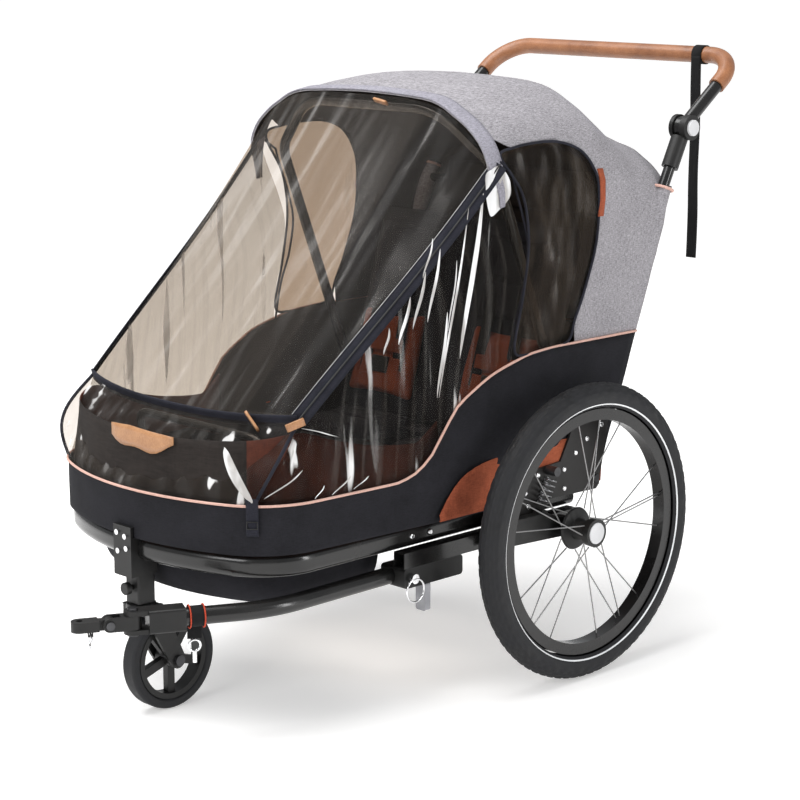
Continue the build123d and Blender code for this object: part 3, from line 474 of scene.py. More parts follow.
def whole(points):
    """A left half outline, from the back's middle to the nose's, with its mirror image, as a closed ring."""
    return points + [(-x, y) for x, y in reversed(points[1:-1])]


# ---- lower fabric body


def creased(x, y, z):
    """How far the lower fabric stands proud or hangs in, in millimetres."""
    rear = between(-330, -180, y) * between(200, 110, y)
    slant = (y * 0.8 - (z - 300) * 0.62 + 26 * fold_noise(x, y, z, 120)) / 14.0
    drape = sin(slant) * between(330, 430, z) * between(edge_z(y) + 4, edge_z(y) - 90, z)
    return 3.4 * drape * rear + 1.6 * fold_noise(x, y, z * 0.4, 55)


levels = 18
rings = []
for k in range(levels + 1):
    share = k / levels
    ring = []
    for x, y in whole(body_line(mix(FLOOR_Z, SEAM_Z, share))):
        z = mix(FLOOR_Z, edge_z(y), share)
        y = min(y, back_y(z))
        push = creased(x, y, z) * between(0, 0.25, share) * between(1, 0.75, share)
        out = Vector((x, y + 150, 0)).normalized()
        ring.append(at(x + out.x * push, y + out.y * push, z))
    rings.append(ring)
body = grid("lower_body", rings, ["charcoal", "lining"], closed=True)
thicken(clean(body), 0.002, -1, 1)
settle(body, "charcoal_fabric", "body_shell")

floor_ring = [at(x, y, FLOOR_Z + 2) for x, y in whole(body_line(FLOOR_Z, 6, 4))]
floor_rows = [floor_ring] + [[at(0, -230, FLOOR_Z + 2).lerp(p, s) for p in floor_ring] for s in (0.93, 0.6)]
floor = grid("cabin_floor", floor_rows, ["rust_lining"], closed=True)
place(thicken(floor, 0.0016), "chassis", "charcoal_fabric")

piping_path = []
for x, y in whole(body_line(SEAM_Z, 7.5)):
    z = edge_z(y)
    piping_path.append(at(x * 1.003, y, z + 1))
piping = pipe("edge_piping", piping_path, 0.0021, "piping", True)
settle(piping, "charcoal_fabric")

ARCH = smooth([
    (-275, 314), (-248, 348), (-213, 372), (-167, 384), (-119, 388),
    (-60, 389), (0, 392), (60, 388), (118, 362),
])
for side in (LEFT, RIGHT):
    rows = []
    for k in range(25):
        y = mix(-275, 118, k / 24)
        rows.append([
            at(side * (BODY_HALF + 0.9 + 1.5 * sin(j / 8 * pi) + 0.8 * fold_noise(5, y, j * 30, 60)), y,
               mix(303, ARCH(y), j / 8))
            for j in range(9)
        ])
    panel = thicken(grid(f"arch_panel_{names[side]}", rows, ["orange"]), 0.0012)
    settle(panel, "orange_fabric")

# ---- footwell

rings = []
for k in range(15):
    share = k / 14
    drop = 98 * sin(share * pi / 2) ** 1.2
    inset = 46 + 34 * share**3 + 60 * max(0, share - 0.9) * 10
    ring = []
    for x, y in [front_plan(-inset, j / 20) for j in range(21)]:
        ring.append((x, y))
    side_run = [(SIDE_X - inset, mix(-330 - inset * 0.2, CORNER_Y, j / 10)) for j in range(10)]
    back_run = [((SIDE_X - inset) * j / 6, -330 - inset * 0.2) for j in range(6)]
    outline = whole(back_run + side_run + ring)
    rings.append([
        at(x + 2 * fold_noise(x, y, drop, 60), y, FLOOR_Z - drop - 1.5 * fold_noise(x, y, 9, 90))
        for x, y in outline
    ])
centre = [at(0, -470, FLOOR_Z - 98.3).lerp(p, 0.02) for p in rings[-1]]
halfway = [c.lerp(p, 0.5) for c, p in zip(centre, rings[-1])]
footwell = grid("foot_bag", rings + [halfway, centre], ["charcoal"], True)
place(thicken(clean(footwell), 0.0016, -1), "chassis", "charcoal_fabric", "footwell")

# ---- canopy

# Across the roof from its crest: how far out, and how far down
DROOP = [
    (0, 0), (80, 2), (150, 7), (182, 15), (208, 28), (232, 41),
    (250, 54), (268, 71), (282, 94), (290, 120), (294, 152),
]
droop_x = smooth([(i, x) for i, (x, _) in enumerate(DROOP)])
droop_z = smooth([(i, d) for i, (_, d) in enumerate(DROOP)])
x_at_drop = smooth([(d, x) for x, d in DROOP])
roof = smooth([(-165, 966), (-60, 982), (40, 989), (95, 984), (150, 953), (215, 908), (290, 876), (345, 858)])
CROWN_STEPS, SIDE_STEPS, ROOF_ROWS = 22, 16, 44
HEM_Y = -160.0


def canopy_point(u, y, inset=0.0):
    """A point of the roof or side at a Y. u is 0 at the crest, 1 where the side turns down, 2 at the seam."""
    top = roof(y)
    if abs(u) <= 1:
        i = abs(u) * 10
        x, z = droop_x(i), top - droop_z(i)
    else:
        x, z = BODY_HALF, mix(top - 152, edge_z(y) + 1, abs(u) - 1)
    slack = 1.3 * fold_noise(x * (1 if u > 0 else -1), y, z, 70)
    x, z = x - inset, z - inset * (1 if abs(u) < 0.8 else 0)
    return x * (1 if u > 0 else -1) * (1 + slack / 600), z + slack * 0.5


def canopy_rear(u):
    y = 300.0
    for _ in range(8):
        y = back_y(canopy_point(u, y)[1])
    return y


steps = [-2 + k / SIDE_STEPS for k in range(SIDE_STEPS)]
steps += [-1 + k / CROWN_STEPS for k in range(2 * CROWN_STEPS)]
steps += [1 + k / SIDE_STEPS for k in range(SIDE_STEPS + 1)]
rows = []
for r in range(ROOF_ROWS + 1):
    row = []
    for u in steps:
        y = mix(HEM_Y, canopy_rear(u), r / ROOF_ROWS)
        x, z = canopy_point(u, y)
        row.append(at(x, y, z))
    rows.append(row)
vertices = [p for row in rows for p in row]
wide = len(steps)
faces = [
    (i * wide + j, i * wide + j + 1, (i + 1) * wide + j + 1, (i + 1) * wide + j)
    for i in range(ROOF_ROWS) for j in range(wide - 1)
]
edge_height = canopy_point(1, canopy_rear(1))[1]
crown = [k for k, u in enumerate(steps) if -1 <= u <= 1]
for j in range(SIDE_STEPS + 1):
    side_u = 1 + j / SIDE_STEPS
    low = canopy_point(side_u, canopy_rear(side_u))[1]
    share = (edge_height - low) / (edge_height - SEAM_Z)
    for k in crown:
        x, z = canopy_point(steps[k], canopy_rear(steps[k]))
        z = mix(z, SEAM_Z + 1, share)
        sag = 5 * sin(share * pi) * (1 - (x / 300) ** 2)
        vertices.append(at(x, back_y(z) - sag, z))
start = (ROOF_ROWS + 1) * wide
many = len(crown)
corners = [start + j * many + k for j in range(SIDE_STEPS) for k in range(many - 1)]
faces += [(c, c + 1, c + many + 1, c + many) for c in corners]
canopy = solid("canopy_cloth", vertices, faces, ["melange", "lining"])
thicken(clean(canopy, 0.0006), 0.0018, -1, 1)


def rounded(points, steps_each=6):
    """A closed smooth line through points, by Catmull-Rom."""
    out = []
    n = len(points)
    for i in range(n):
        a, b, c, d = (Vector(points[(i + k) % n]) for k in (-1, 0, 1, 2))
        for k in range(steps_each):
            t = k / steps_each
            bend, twist = 2 * a - 5 * b + 4 * c - d, 3 * b - 3 * c + d - a
            out.append(0.5 * (2 * b + (c - a) * t + bend * t * t + twist * t**3))
    return out


WINDOW = [
    (-128, 874), (-95, 887), (-35, 892), (14, 889), (59, 873), (88, 843), (102, 803), (98, 719), (69, 638),
    (46, 592), (30, 558), (-20, 551), (-70, 548), (-102, 560), (-84, 640), (-71, 715), (-74, 770), (-88, 815),
]
window_line = [(p.x, p.y) for p in rounded(WINDOW)]
OPEN_EDGE = [(-20, 540), (-100, 520), (-190, 500), (-210, 820), (-172, 842), (-140, 866)]
cut_line = [(p.x, p.y) for p in rounded(WINDOW[:11])[:61]] + OPEN_EDGE


def cutter(points, x0, x1):
    n = len(points)
    vertices = [at(x0, y, z) for y, z in points] + [at(x1, y, z) for y, z in points]
    faces = [tuple(range(n)), tuple(reversed(range(n, 2 * n)))]
    faces += [(k, k + n, (k + 1) % n + n, (k + 1) % n) for k in range(n)]
    return clean(solid("cutter", vertices, faces, ["lining"]))


for side in (LEFT, RIGHT):
    tool = cutter(cut_line, side * 225, side * 330)
    m = canopy.modifiers.new("cut", "BOOLEAN")
    m.operation = "DIFFERENCE"
    m.object = tool
    m.solver = "EXACT"
    freeze(canopy)
    bpy.data.objects.remove(tool)
crumple(canopy, "grey_melange_fabric", "canopy")


def skin_x(y, z, inset=1.0):
    """How far out the canopy's skin is, at a Y and a height."""
    drop = roof(max(y, HEM_Y)) - z
    return (x_at_drop(drop) if drop < 152 else BODY_HALF) - inset


def window_sheet(name, line, middle, look, inset, side):
    """A sheet that fills an outline on the cabin's side, and follows its skin."""
    n = len(line)
    rings = []
    for k in range(13):
        s = 1 - k / 12
        ring = []
        for y, z in line:
            y, z = mix(middle[0], y, s), mix(middle[1], z, s)
            wave = 1.2 * fold_noise(9, y, z * 0.5, 40) * min(1, 4 * (1 - s))
            ring.append(at(side * (skin_x(y, z, inset) - 1 + wave), y, z))
        rings.append(ring)
    return clean(grid(name, rings, [look], True))


for side in (LEFT, RIGHT):
    window = window_sheet(f"smoked_window_{names[side]}", window_line, (5, 720), "smoke", 1.2, side)
    crumple(thicken(window, 0.0006), "tinted_film", *(["side_windows"] if side == LEFT else []))
    trim = [at(side * (skin_x(y, z, 0) + 0.2), y, z) for y, z in window_line]
    crumple(pipe(f"window_trim_{names[side]}", trim, 0.0022, "navy", True), "black_webbing")
    tab_line = ((103, 840), (109, 820), (110, 790), (106, 760))
    tab = [at(side * (skin_x(y, z, 0) + 1.5), y, z) for y, z in tab_line]
    strip = ribbon(f"window_tab_{names[side]}", tab, lambda i: Vector((0, 1, 0)), 0.013, 0.0022, "orange")
    crumple(strip, "orange_fabric")

hem_rows = []
for r in range(5):
    row = []
    for k in range(61):
        u = -1.08 + 2.16 * k / 60
        y = HEM_Y - 1 + 32 * r / 4 + 20 * between(0.8, 1.08, abs(u)) * (1 - r / 4)
        x, z = canopy_point(u, y)
        out = 2.2 if r < 4 else 0.4
        aside = (1 if x > 0 else -1) * out * between(0.6, 1, abs(u))
        row.append(at(x + aside, y, z + out * between(1.05, 0.7, abs(u))))
    hem_rows.append(row)
hem = thicken(grid("front_hem", hem_rows, ["hem"]), 0.0022)
crumple(hem, "grey_melange_fabric")

# ---- clear cover

hem_z = smooth([(0, 963), (89, 962), (158, 955), (208, 938), (248, 912), (280, 880), (290, 864)])


def hem_point(u):
    """The cover's upper edge, from the right tip, u = -1, to the left tip, u = 1."""
    x = 290 * abs(u)
    return Vector((290 * u, -162 + 24 * abs(u) ** 8, hem_z(x) - 1.5))


def band_point(u):
    """The stiff band on the nose."""
    return Vector((255 * u, -578 + 38 * abs(u) ** 3, 492 + 12 * u * u))


def strip_point(v, side):
    """The zip binding beside the front window, from the roof's tip, v = 0, down to the nose band, v = 1."""
    a, b = hem_point(side), band_point(side)
    p = a.lerp(b, v)
    p.z -= 9 * sin(v * pi) * (1 - v) * 1.6
    return p


def cover_point(u, v):
    """The front window: taut between the hem and the band, hanging in a little at the middle."""
    a, b = hem_point(u), band_point(u)
    p = a.lerp(b, v)
    edge = strip_point(v, 1).z - hem_point(1).lerp(band_point(1), v).z
    p.z += edge * u * u - 14 * sin(v * pi) * (1 - u * u)
    crease = sin(u * 26 + 3 * fold_noise(u * 300, v * 200, 0, 140)) * (0.25 + abs(u) ** 3) * sin(v * pi)
    p.z += 1.8 * crease + 3.0 * fold_noise(u * 300, v * 160, 0, 90) * sin(v * pi)
    return p


rows = [[at(*cover_point(-1 + j / 30, i / 36)) for j in range(61)] for i in range(37)]
front = thicken(grid("front_window", rows, ["cover"]), 0.0006)
crumple(front, "clear_film", "rain_cover")

seam_in = smooth([(0, 0), (0.12, 12), (0.3, 34), (0.45, 45), (0.62, 36), (0.82, 12), (1, 0)])


def side_foot(s):
    """The clear side's lower edge along the piping, from the window, s = 0, to the nose's corner, s = 1."""
    if s < 0.8:
        y = mix(-108, CORNER_Y, s / 0.8)
        x = BODY_HALF if y > -160 else mix(BODY_HALF, SIDE_X + 6, (y + 160) / (CORNER_Y + 160))
        return Vector((x - 1.5, y, edge_z(y)))
    x, y = front_plan(5, (s - 0.8) / 0.2 * 0.3)
    return Vector((x - 1.5, y, PIPING_Z))


SIDE_COLUMNS, SIDE_ROWS = 110, 24
for side in (LEFT, RIGHT):
    rows = []
    for i in range(SIDE_ROWS + 1):
        w = i / SIDE_ROWS
        row = []
        for j in range(SIDE_COLUMNS + 1):
            s = j / SIDE_COLUMNS
            p = strip_point(s**0.95, 1).lerp(side_foot(s), w)
            p.y += seam_in(w) * (1 - s) ** 3
            wave = sin(j * 0.92 + 2.4 * fold_noise(j * 30, w * 120, 3, 130)) + 0.8 * sin(j * 0.37 + w * 2)
            p.x += 2.6 * wave * sin(min(1, w * 1.6) * pi / 2) * (1 - 0.5 * w) * min(1, s * 8 + 0.25)
            row.append(at(side * min(p.x, 296), p.y, p.z))
        rows.append(row)
    sheet = thicken(grid(f"clear_side_{names[side]}", rows, ["side"]), 0.0006)
    crumple(sheet, "clear_film")

rows = []
for i in range(17):
    w = i / 16
    row = []
    for j in range(91):
        u = 1 - j / 45
        x, y = front_plan(5, 0.3 + 0.7 * (1 - abs(u)))
        foot = Vector((x if u > 0 else -x, y, PIPING_Z - 1))
        p = band_point(u).lerp(foot, w)
        out = Vector((p.x, p.y + 350, 0)).normalized()
        push = 13 * sin(w * pi) + 2.2 * sin(j * 0.8 + 3 * fold_noise(j * 20, w * 90, 7, 110)) * sin(w * pi)
        push += 16 * between(-0.6, -1, u) * sin(w * pi)
        p += out * push
        row.append(at(p.x, p.y, p.z))
    rows.append(row)
skirt = thicken(grid("nose_skirt", rows, ["skirt"]), 0.0006)
settle(skirt, "clear_film")

for side in (LEFT, RIGHT):
    line = [at(*strip_point(k / 30, side)) + Vector((side * 0.002, 0, 0.001)) for k in range(31)]
    slope = (line[-1] - line[0]).normalized()
    lie = slope.cross(Vector((side * 0.75, -0.45, 0.48))).normalized()
    crumple(ribbon(f"zip_binding_{names[side]}", line, lambda i: lie, 0.026, 0.002, "navy"), "black_webbing")
    teeth = [p + Vector((side * 0.0016, -0.0012, 0.0016)) for p in line]
    crumple(pipe(f"zip_teeth_{names[side]}", teeth, 0.0014, "casting"), "black_webbing")
    # A thin grey metal cord along the binding's front edge: a painted highlight, standing in for light off
    # the film's edge
    front_edge = [p + lie * 0.0135 + Vector((side * 0.001, -0.001, 0.001)) for p in line]
    crumple(pipe(f"zip_edge_glint_{names[side]}", front_edge, 0.0006, "spoke"), "clear_film")
    corner = []
    for row in rows:
        corner.append(row[0] if side > 0 else row[-1])
    edge = pipe(f"skirt_binding_{names[side]}", corner, 0.0028, "navy")
    settle(edge, "black_webbing")
    seam = [at(side * 287, -108 + seam_in(k / 20), mix(862, 540, k / 20)) for k in range(21)]
    seam[0] = at(side * 289, -134, 868)
    crumple(pipe(f"window_seam_{names[side]}", seam, 0.002, "navy"), "black_webbing")

band_line = [at(*band_point(1 - k / 30)) + Vector((0, -0.002, 0)) for k in range(61)]
band = ribbon("nose_band", band_line, lambda i: Vector((0, -0.25, 1)), 0.018, 0.003, "navy")
crumple(band, "black_webbing")


def tab(name, centre, along, up, size, look):
    """A small flat pull tab."""
    along, up = Vector(along).normalized(), Vector(up).normalized()
    points = [centre + along * size[0] * (k / 6 - 0.5) for k in range(7)]
    return ribbon(name, points, lambda i: up, size[1], size[2], look)


crumple(tab("zip_pull_left", at(262, -552, 500), (0.3, 0.7, 0.25), (0, -0.4, 1), (0.03, 0.012, 0.004), "tan"),
        "brown_leather")
band_tab = tab("band_tab", at(190, -576, 498), (0.5, 0.1, -0.55), (0.3, -0.5, 0.6),
               (0.034, 0.009, 0.004), "tan")
hem_tab = tab("hem_tab", at(48, -166, 952), (1, 0, -0.15), (0, -0.5, 0.6), (0.03, 0.008, 0.004), "tan")
for piece in (band_tab, hem_tab):
    crumple(piece, "brown_leather")

# The tub's inner wall stands a little above the piping, rust on the sides and dark on the nose
wall_top = smooth([
    (-700, 462), (-600, 478), (-556, 484), (-476, 462), (-380, 440), (-290, 432), (-262, 455), (0, 560),
])
WALL_FOLD = (0.34, 0.2)


def inner_wall(name, run, look):
    rows = []
    for i in range(9):
        row = []
        for x, y in run:
            z = mix(374, wall_top(y), i / 8)
            lean_in = 9 + 10 * i / 8 + 2.5 * fold_noise(x, y, z, 70)
            out = Vector((x, y + 350, 0)).normalized() * lean_in
            row.append(at(x - out.x, y - out.y, z))
        rows.append(row)
    flatten(place(thicken(grid(name, rows, [look]), 0.0022), "chassis", "charcoal_fabric"), *WALL_FOLD)


for side in (LEFT, RIGHT):
    run = [(side * mix(288, 274, k / 12), mix(-250, CORNER_Y, k / 12)) for k in range(12)]
    run += [(side * x, y) for x, y in (front_plan(4, k / 30) for k in range(11))]
    inner_wall(f"inner_wall_{names[side]}", run, "rust_lining")
run = [(x, y) for x, y in (front_plan(4, 1 / 3 + k / 45) for k in range(31))]
inner_wall("nose_panel", run + [(-x, y) for x, y in reversed(run[:-1])], "lining")
patch = []
for i in range(5):
    row = []
    for k in range(13):
        x = mix(-48, 96, k / 12)
        y = nose_y - sqrt((NOSE_R - 7) ** 2 - x * x)
        low = 454 - 15 * sin(k / 12 * pi) - 4 * sin(k * 0.9)
        row.append(at(x, y, mix(low, 476 - 0.06 * abs(x), i / 4)))
    patch.append(row)
flatten(place(thicken(grid("nose_patch", patch, ["tan"]), 0.0015), "chassis", "orange_fabric"), *WALL_FOLD)

# Painted highlights along creases in the film, drawn as near-white ribbons just outside it: Y and Z of their
# ends, and their widths
SIDE_GLINT_LINES = [
    ((-177, 822), (-224, 562), 11), ((-209, 800), (-269, 505), 4.5), ((-270, 742), (-294, 629), 6),
    ((-301, 709), (-325, 622), 6.5), ((-333, 673), (-355, 601), 7), ((-377, 629), (-386, 589), 5),
    ((-254, 640), (-273, 505), 6), ((-286, 760), (-304, 700), 4), ((-234, 720), (-250, 610), 3),
    ((-550, 432), (-602, 392), 3.5), ((-456, 408), (-492, 384), 5), ((-510, 402), (-526, 384), 3),
    ((-420, 402), (-448, 386), 3.5), ((-552, 497), (-480, 474), 4),
]


def crease(name, a, b, width, where):
    """A narrow raised ribbon from a to b that fades at both ends, in the near-white glint look: a painted
    highlight along a crease. where turns a Y and Z into a point.
    """
    rows = []
    for k in range(15):
        s = k / 14
        y, z = mix(a[0], b[0], s) + 2.5 * sin(s * 5), mix(a[1], b[1], s)
        half = width * sin(s * pi) ** 0.6 / 2 + 0.2
        rows.append([where(y - half, z), where(y, z) + Vector((0.0006, 0, 0)), where(y + half, z)])
    return crumple(clean(grid(name, rows, ["glint"])), "clear_film")


def by_side(y, z):
    """The clear side's surface, a little outside its waves."""
    half = mix(293.5, 279, min(1, max(0, (-160 - y) / 359)))
    if y < CORNER_Y:
        half = 279 - 0.0042 * (CORNER_Y - y) ** 2
    return at(half, y, z)


for k, (a, b, width) in enumerate(SIDE_GLINT_LINES):
    crease(f"side_glint_{k}", a, b, width, by_side)

# A loose flap of film at the top corner of the side, as Y and Z, in the near-white glint look: a painted
# highlight
GLINT_FLAP = [
    (-172, 850), (-158, 858), (-139, 862), (-118, 842), (-113, 822),
    (-119, 806), (-140, 792), (-159, 783), (-167, 800), (-171, 822),
]
rings = []
for k in range(6):
    s = 1 - k / 6
    rings.append([
        at(293 + 2.5 * sin((1 - s) * pi / 2) + 0.8 * fold_noise(y, z, 3, 9), mix(-142, y, s), mix(824, z, s))
        for y, z in ((p.x, p.y) for p in rounded(GLINT_FLAP, 3))
    ])
crumple(clean(grid("glint_flap", rings, ["glint"], True)), "clear_film")

# A painted highlight on the nose skirt: a near-white ribbon standing in for glare along a crease
rows = []
for k in range(15):
    s = k / 14
    x, y = front_plan(5, mix(0.42, 0.3, s))
    p = Vector((x, y, mix(470, 384, s))) + Vector((x, y + 350, 0)).normalized() * (16 * sin(s * pi) + 7)
    w = 9 * sin(s * pi) ** 0.5 + 0.3
    rows.append([
        at(p.x + w * 0.8, p.y + w * 0.5, p.z), at(p.x, p.y - 1, p.z), at(p.x - w * 0.8, p.y - w * 0.5, p.z),
    ])
settle(clean(grid("skirt_glint", rows, ["glint"])), "clear_film")

# Closing tab on the nose corner: webbing with a loop through it
x, y = front_plan(7, 0.305)
out = Vector((x, y + 350, 0)).normalized()
tab_drop = ((8, 392), (5, 384), (2.6, 374), (2.4, 362), (2.4, 350), (2.6, 338), (2, 333))
drop = [at(x + out.x * o, y + out.y * o, z) for o, z in tab_drop]
tangent = Vector((-out.y, out.x, 0))
settle(ribbon("closing_tab", drop, lambda i: tangent, 0.019, 0.0022, "navy"), "black_webbing")
loop = [
    at(x + out.x * 5 + tangent.x * u, y + out.y * 5 + tangent.y * u, z)
    for u, z in ((-8, 356), (8, 356), (8, 345), (-8, 345))
]
settle(pipe("closing_loop", loop, 0.0012, "casting", True), "black_webbing")

# ---- cuffs where the stems leave the roof

STEM_X = 281

for side in (LEFT, RIGHT):
    rows = []
    for i in range(15):
        z = mix(690, 794, i / 14)
        y = PIVOT_Y + (z - PIVOT_Z) * LEAN
        grow = mix(11, 15.2, between(690, 735, z))
        rows.append([
            at(side * (STEM_X + grow * cos(2 * pi * k / 28)), y + grow * 1.05 * sin(2 * pi * k / 28), z)
            for k in range(28)
        ])
    sleeve = clean(grid(f"stem_sleeve_{names[side]}", rows, ["melange"], True))
    crumple(sleeve, "grey_melange_fabric")
    ring = []
    for k in range(24):
        a = 2 * pi * k / 24
        ring.append(at(side * STEM_X + 16.2 * cos(a), 286.5 + 17 * sin(a), 791 - 6.5 * sin(a)))
    crumple(pipe(f"stem_cuff_{names[side]}", ring, 0.0026, "piping", True), "orange_fabric")

# ---- seats

SEAT_TILT = radians(17)


def in_seat(x, y, z):
    """A point drawn upright at the seat's hinge, leaned back with the seat."""
    return at(x, 20 + y * cos(SEAT_TILT) + z * sin(SEAT_TILT), 378 - y * sin(SEAT_TILT) + z * cos(SEAT_TILT))


def stuffed(name, low, high, corner, look, cap=0.008, voxel=0.006):
    """A cushion blown up by cloth simulation from a rounded slab between two corners in millimetres."""
    low, high = (tuple(v / 1000 for v in end) for end in (low, high))
    obj = block(name, low, high, look, corner / 1000)
    remesh = obj.modifiers.new("remesh", "REMESH")
    remesh.mode = "VOXEL"
    remesh.voxel_size = voxel
    remesh.use_smooth_shade = True
    freeze(obj)
    rest = [v.co.copy() for v in obj.data.vertices]
    m = obj.modifiers.new("cloth", "CLOTH")
    m.settings.use_pressure = True
    m.settings.uniform_pressure_force = 4
    m.settings.effector_weights.gravity = 0
    m.point_cache.frame_start, m.point_cache.frame_end = 1, 20
    for step in range(1, 21):
        bpy.context.scene.frame_set(step)
    freeze(obj)
    for v, home in zip(obj.data.vertices, rest):
        move = v.co - home
        if move.length > cap:
            v.co = home + move * (cap / move.length)
    m = obj.modifiers.new("round", "SUBSURF")
    m.levels = m.render_levels = 1
    freeze(obj)
    obj.data.polygons.foreach_set("use_smooth", [True] * len(obj.data.polygons))
    return obj


def stitched(obj, depth, lines, width=5.0):
    """Pulls a cushion's face in along sewn channels. lines gives a point's distance to its nearest seam."""
    for v in obj.data.vertices:
        x, y, z = (c * 1000 for c in v.co)
        near = lines(x, z)
        v.co.y += depth / 1000 * max(0.0, 1 - (near / width) ** 2) * between(0, -10, y)
    return obj


def lean(obj):
    """Puts a cushion that was drawn upright in its place on the seat."""
    for v in obj.data.vertices:
        v.co = in_seat(*(c * 1000 for c in v.co))
    return obj


for side in (LEFT, RIGHT):
    x = side * 136
    lower = stuffed(f"seat_pad_{names[side]}", (x - 82, -28, 18), (x + 82, -14, 176), 6, "shaded_seat_rust")
    stitched(lower, 7, lambda px, pz: min(abs(abs(px - x) - 52), abs(pz - 96) if abs(px - x) < 52 else 99))
    upper = stuffed(f"head_pad_{names[side]}", (x - 80, -28, 184), (x + 80, -14, 341), 6, "charcoal")
    stitched(upper, 7, lambda px, pz: min(abs(abs(px - x) - 50), abs(pz - 262) if abs(px - x) < 50 else 99))
    if side == LEFT:
        place(lean(lower), "seat_back", "orange_fabric", "seat_pads")
    else:
        place(lean(lower), "seat_back", "orange_fabric")
    place(lean(upper), "seat_back", "charcoal_fabric")

    seat = stuffed(f"seat_cushion_{names[side]}", (x - 88, -176, 352), (x + 88, 22, 370), 8, "charcoal", 0.01)
    for v in seat.data.vertices:
        px, py, pz = (c * 1000 for c in v.co)
        seam = min(abs(abs(px - x) - 58), abs(py + 70) if abs(px - x) < 58 else 99)
        dip = 5 * max(0.0, 1 - (seam / 5) ** 2) * between(355, 368, pz)
        v.co = at(px, py, pz - dip)
    place(seat, "chassis", "charcoal_fabric")
    flatten(seat, 0.35, 0.3)

    for offset in (-38, 38):
        line = [in_seat(x + offset * (1.05 - 0.25 * k / 16), -33 - 3 * sin(k / 16 * pi), mix(70, 300, k / 16))
                for k in range(17)]
        strap = ribbon(f"shoulder_strap_{names[side]}_{offset + 40}", line, lambda i: Vector((1, 0, 0)),
                       0.024, 0.0018, "webbing")
        place(strap, "seat_back", "black_webbing")
    pad_line = [in_seat(x, -36, mix(62, 92, k / 6)) for k in range(7)]
    catch = ribbon(f"buckle_{names[side]}", pad_line, lambda i: Vector((1, 0, 0)), 0.042, 0.009, "casting")
    place(bevelled(catch, 0.003, 3), "seat_back", "black_webbing")
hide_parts("harness_straps")

# The bench's cover: a soft rim round the seat cushions
rings = []
for k in range(13):
    share = k / 12
    z = mix(304, 364, sin(share * pi / 2))
    ring = []
    for j in range(14):
        ring.append((240 - 6 * (1 - cos(share * pi / 2)), mix(42, -190, j / 13), z))
    fore = [
        (240 * (1 - j / 16), -194 - 5 * sin(share * pi) - 3 * fold_noise(j * 16, z, 2, 60), z)
        for j in range(17)
    ]
    back_run = [(240 * j / 8, 44, z) for j in range(8)]
    half = back_run + ring + fore
    full = half + [(-px, py, pz) for px, py, pz in reversed(half[1:-1])]
    rings.append([at(*p) for p in full])
top = [at(0, -75, 365).lerp(p, 0.9) for p in rings[-1]]
inner = [at(0, -75, 358).lerp(p, 0.5) for p in rings[-1]]
bench_cover = grid("bench_cover", rings + [top, inner], ["charcoal"], True)
place(thicken(clean(bench_cover), 0.002, -1), "chassis", "charcoal_fabric", "seat_bench")

# The seat back's shell: a dark cloth sleeve over its frame, a little hollow between its edges
rings = []
for k in range(15):
    z = 372 * k / 14 - 6
    half = 238 - 10 * (1 - between(0, 40, 372 - z - 6)) ** 2
    ring = []
    for j in range(32):
        a = 2 * pi * j / 32
        px = half * min(1, max(-1, 1.12 * cos(a)))
        py = 12.5 * sin(a) * (1 - 0.35 * (1 - abs(px) / half))
        ring.append(in_seat(px, py + 1.2 * fold_noise(px, z, 4, 70), z))
    rings.append(ring)
caps = [[in_seat(0, 0, z).lerp(p, 0.02) for p in ring] for z, ring in ((-6, rings[0]), (366, rings[-1]))]
shell = grid("seat_back_cover", [caps[0]] + rings + [caps[1]], ["charcoal"], True)
place(clean(shell), "seat_back", "charcoal_fabric", "seat_back")

# Head support above the seat back, fixed to the roof's rear, black cloth
rows = []
for i in range(13):
    z = mix(735, 806, i / 12)
    rows.append([
        at(x, back_y(z) - 30 - 12 * (1 - (x / 240) ** 2) * sin(i / 12 * pi), z) for x in range(-220, 221, 20)
    ])
crumple(thicken(grid("rear_net", rows, ["lining"]), 0.0016), "charcoal_fabric")

# ---- tyres

WHEEL_X, WHEEL_Z, TYRE_R, TYRE_TUBE = 367.0, 250.0, 227.0, 22.6


def tyre(name, side):
    """A casing with small tread blocks in offset rows, which run on down its shoulders."""
    rounds, across = 288, 46
    rows = []
    for i in range(rounds):
        a = 2 * pi * i / rounds
        row = []
        for j in range(across + 1):
            b = mix(-2.42, 2.42, j / across)
            lift = 0.0
            lane = j // 3
            if abs(b) < 1.25 and j % 3 != 2 and (i + 2 * (lane % 2)) % 4 != 3:
                lift = 2.0 - 0.5 * abs(b)
            elif 1.25 <= abs(b) < 1.55 and (i % 6) < 3:
                lift = 0.9
            r = TYRE_R + (TYRE_TUBE + lift - 0.9) * cos(b)
            x = side * (WHEEL_X + (TYRE_TUBE + lift - 0.9) * sin(b))
            row.append(at(x, r * sin(a), WHEEL_Z + r * cos(a)))
        rows.append(row)
    rows.append(rows[0])
    obj = clean(grid(name, rows, ["rubber"]), 0.00005)
    place(obj, f"wheel_{names[side]}", "tyre_rubber", f"tyre_{names[side]}")
    for where, sign in (("outer", 1), ("inner", -1)):
        rows = []
        for k in range(121):
            a = 2 * pi * k / 120
            row = []
            for b in (2.02, 2.08, 2.14):
                r = TYRE_R + (TYRE_TUBE - 0.5) * cos(b)
                x = side * (WHEEL_X + sign * (TYRE_TUBE - 0.5) * sin(b))
                row.append(at(x, r * sin(a), WHEEL_Z + r * cos(a)))
            rows.append(row)
        ring = clean(grid(f"{where}_stripe_{names[side]}", rows, ["stripe"]), 0.00005)
        place(ring, f"wheel_{names[side]}", "tyre_rubber")


for side in (LEFT, RIGHT):
    tyre(f"tyre_tread_{names[side]}", side)

# ---- springs

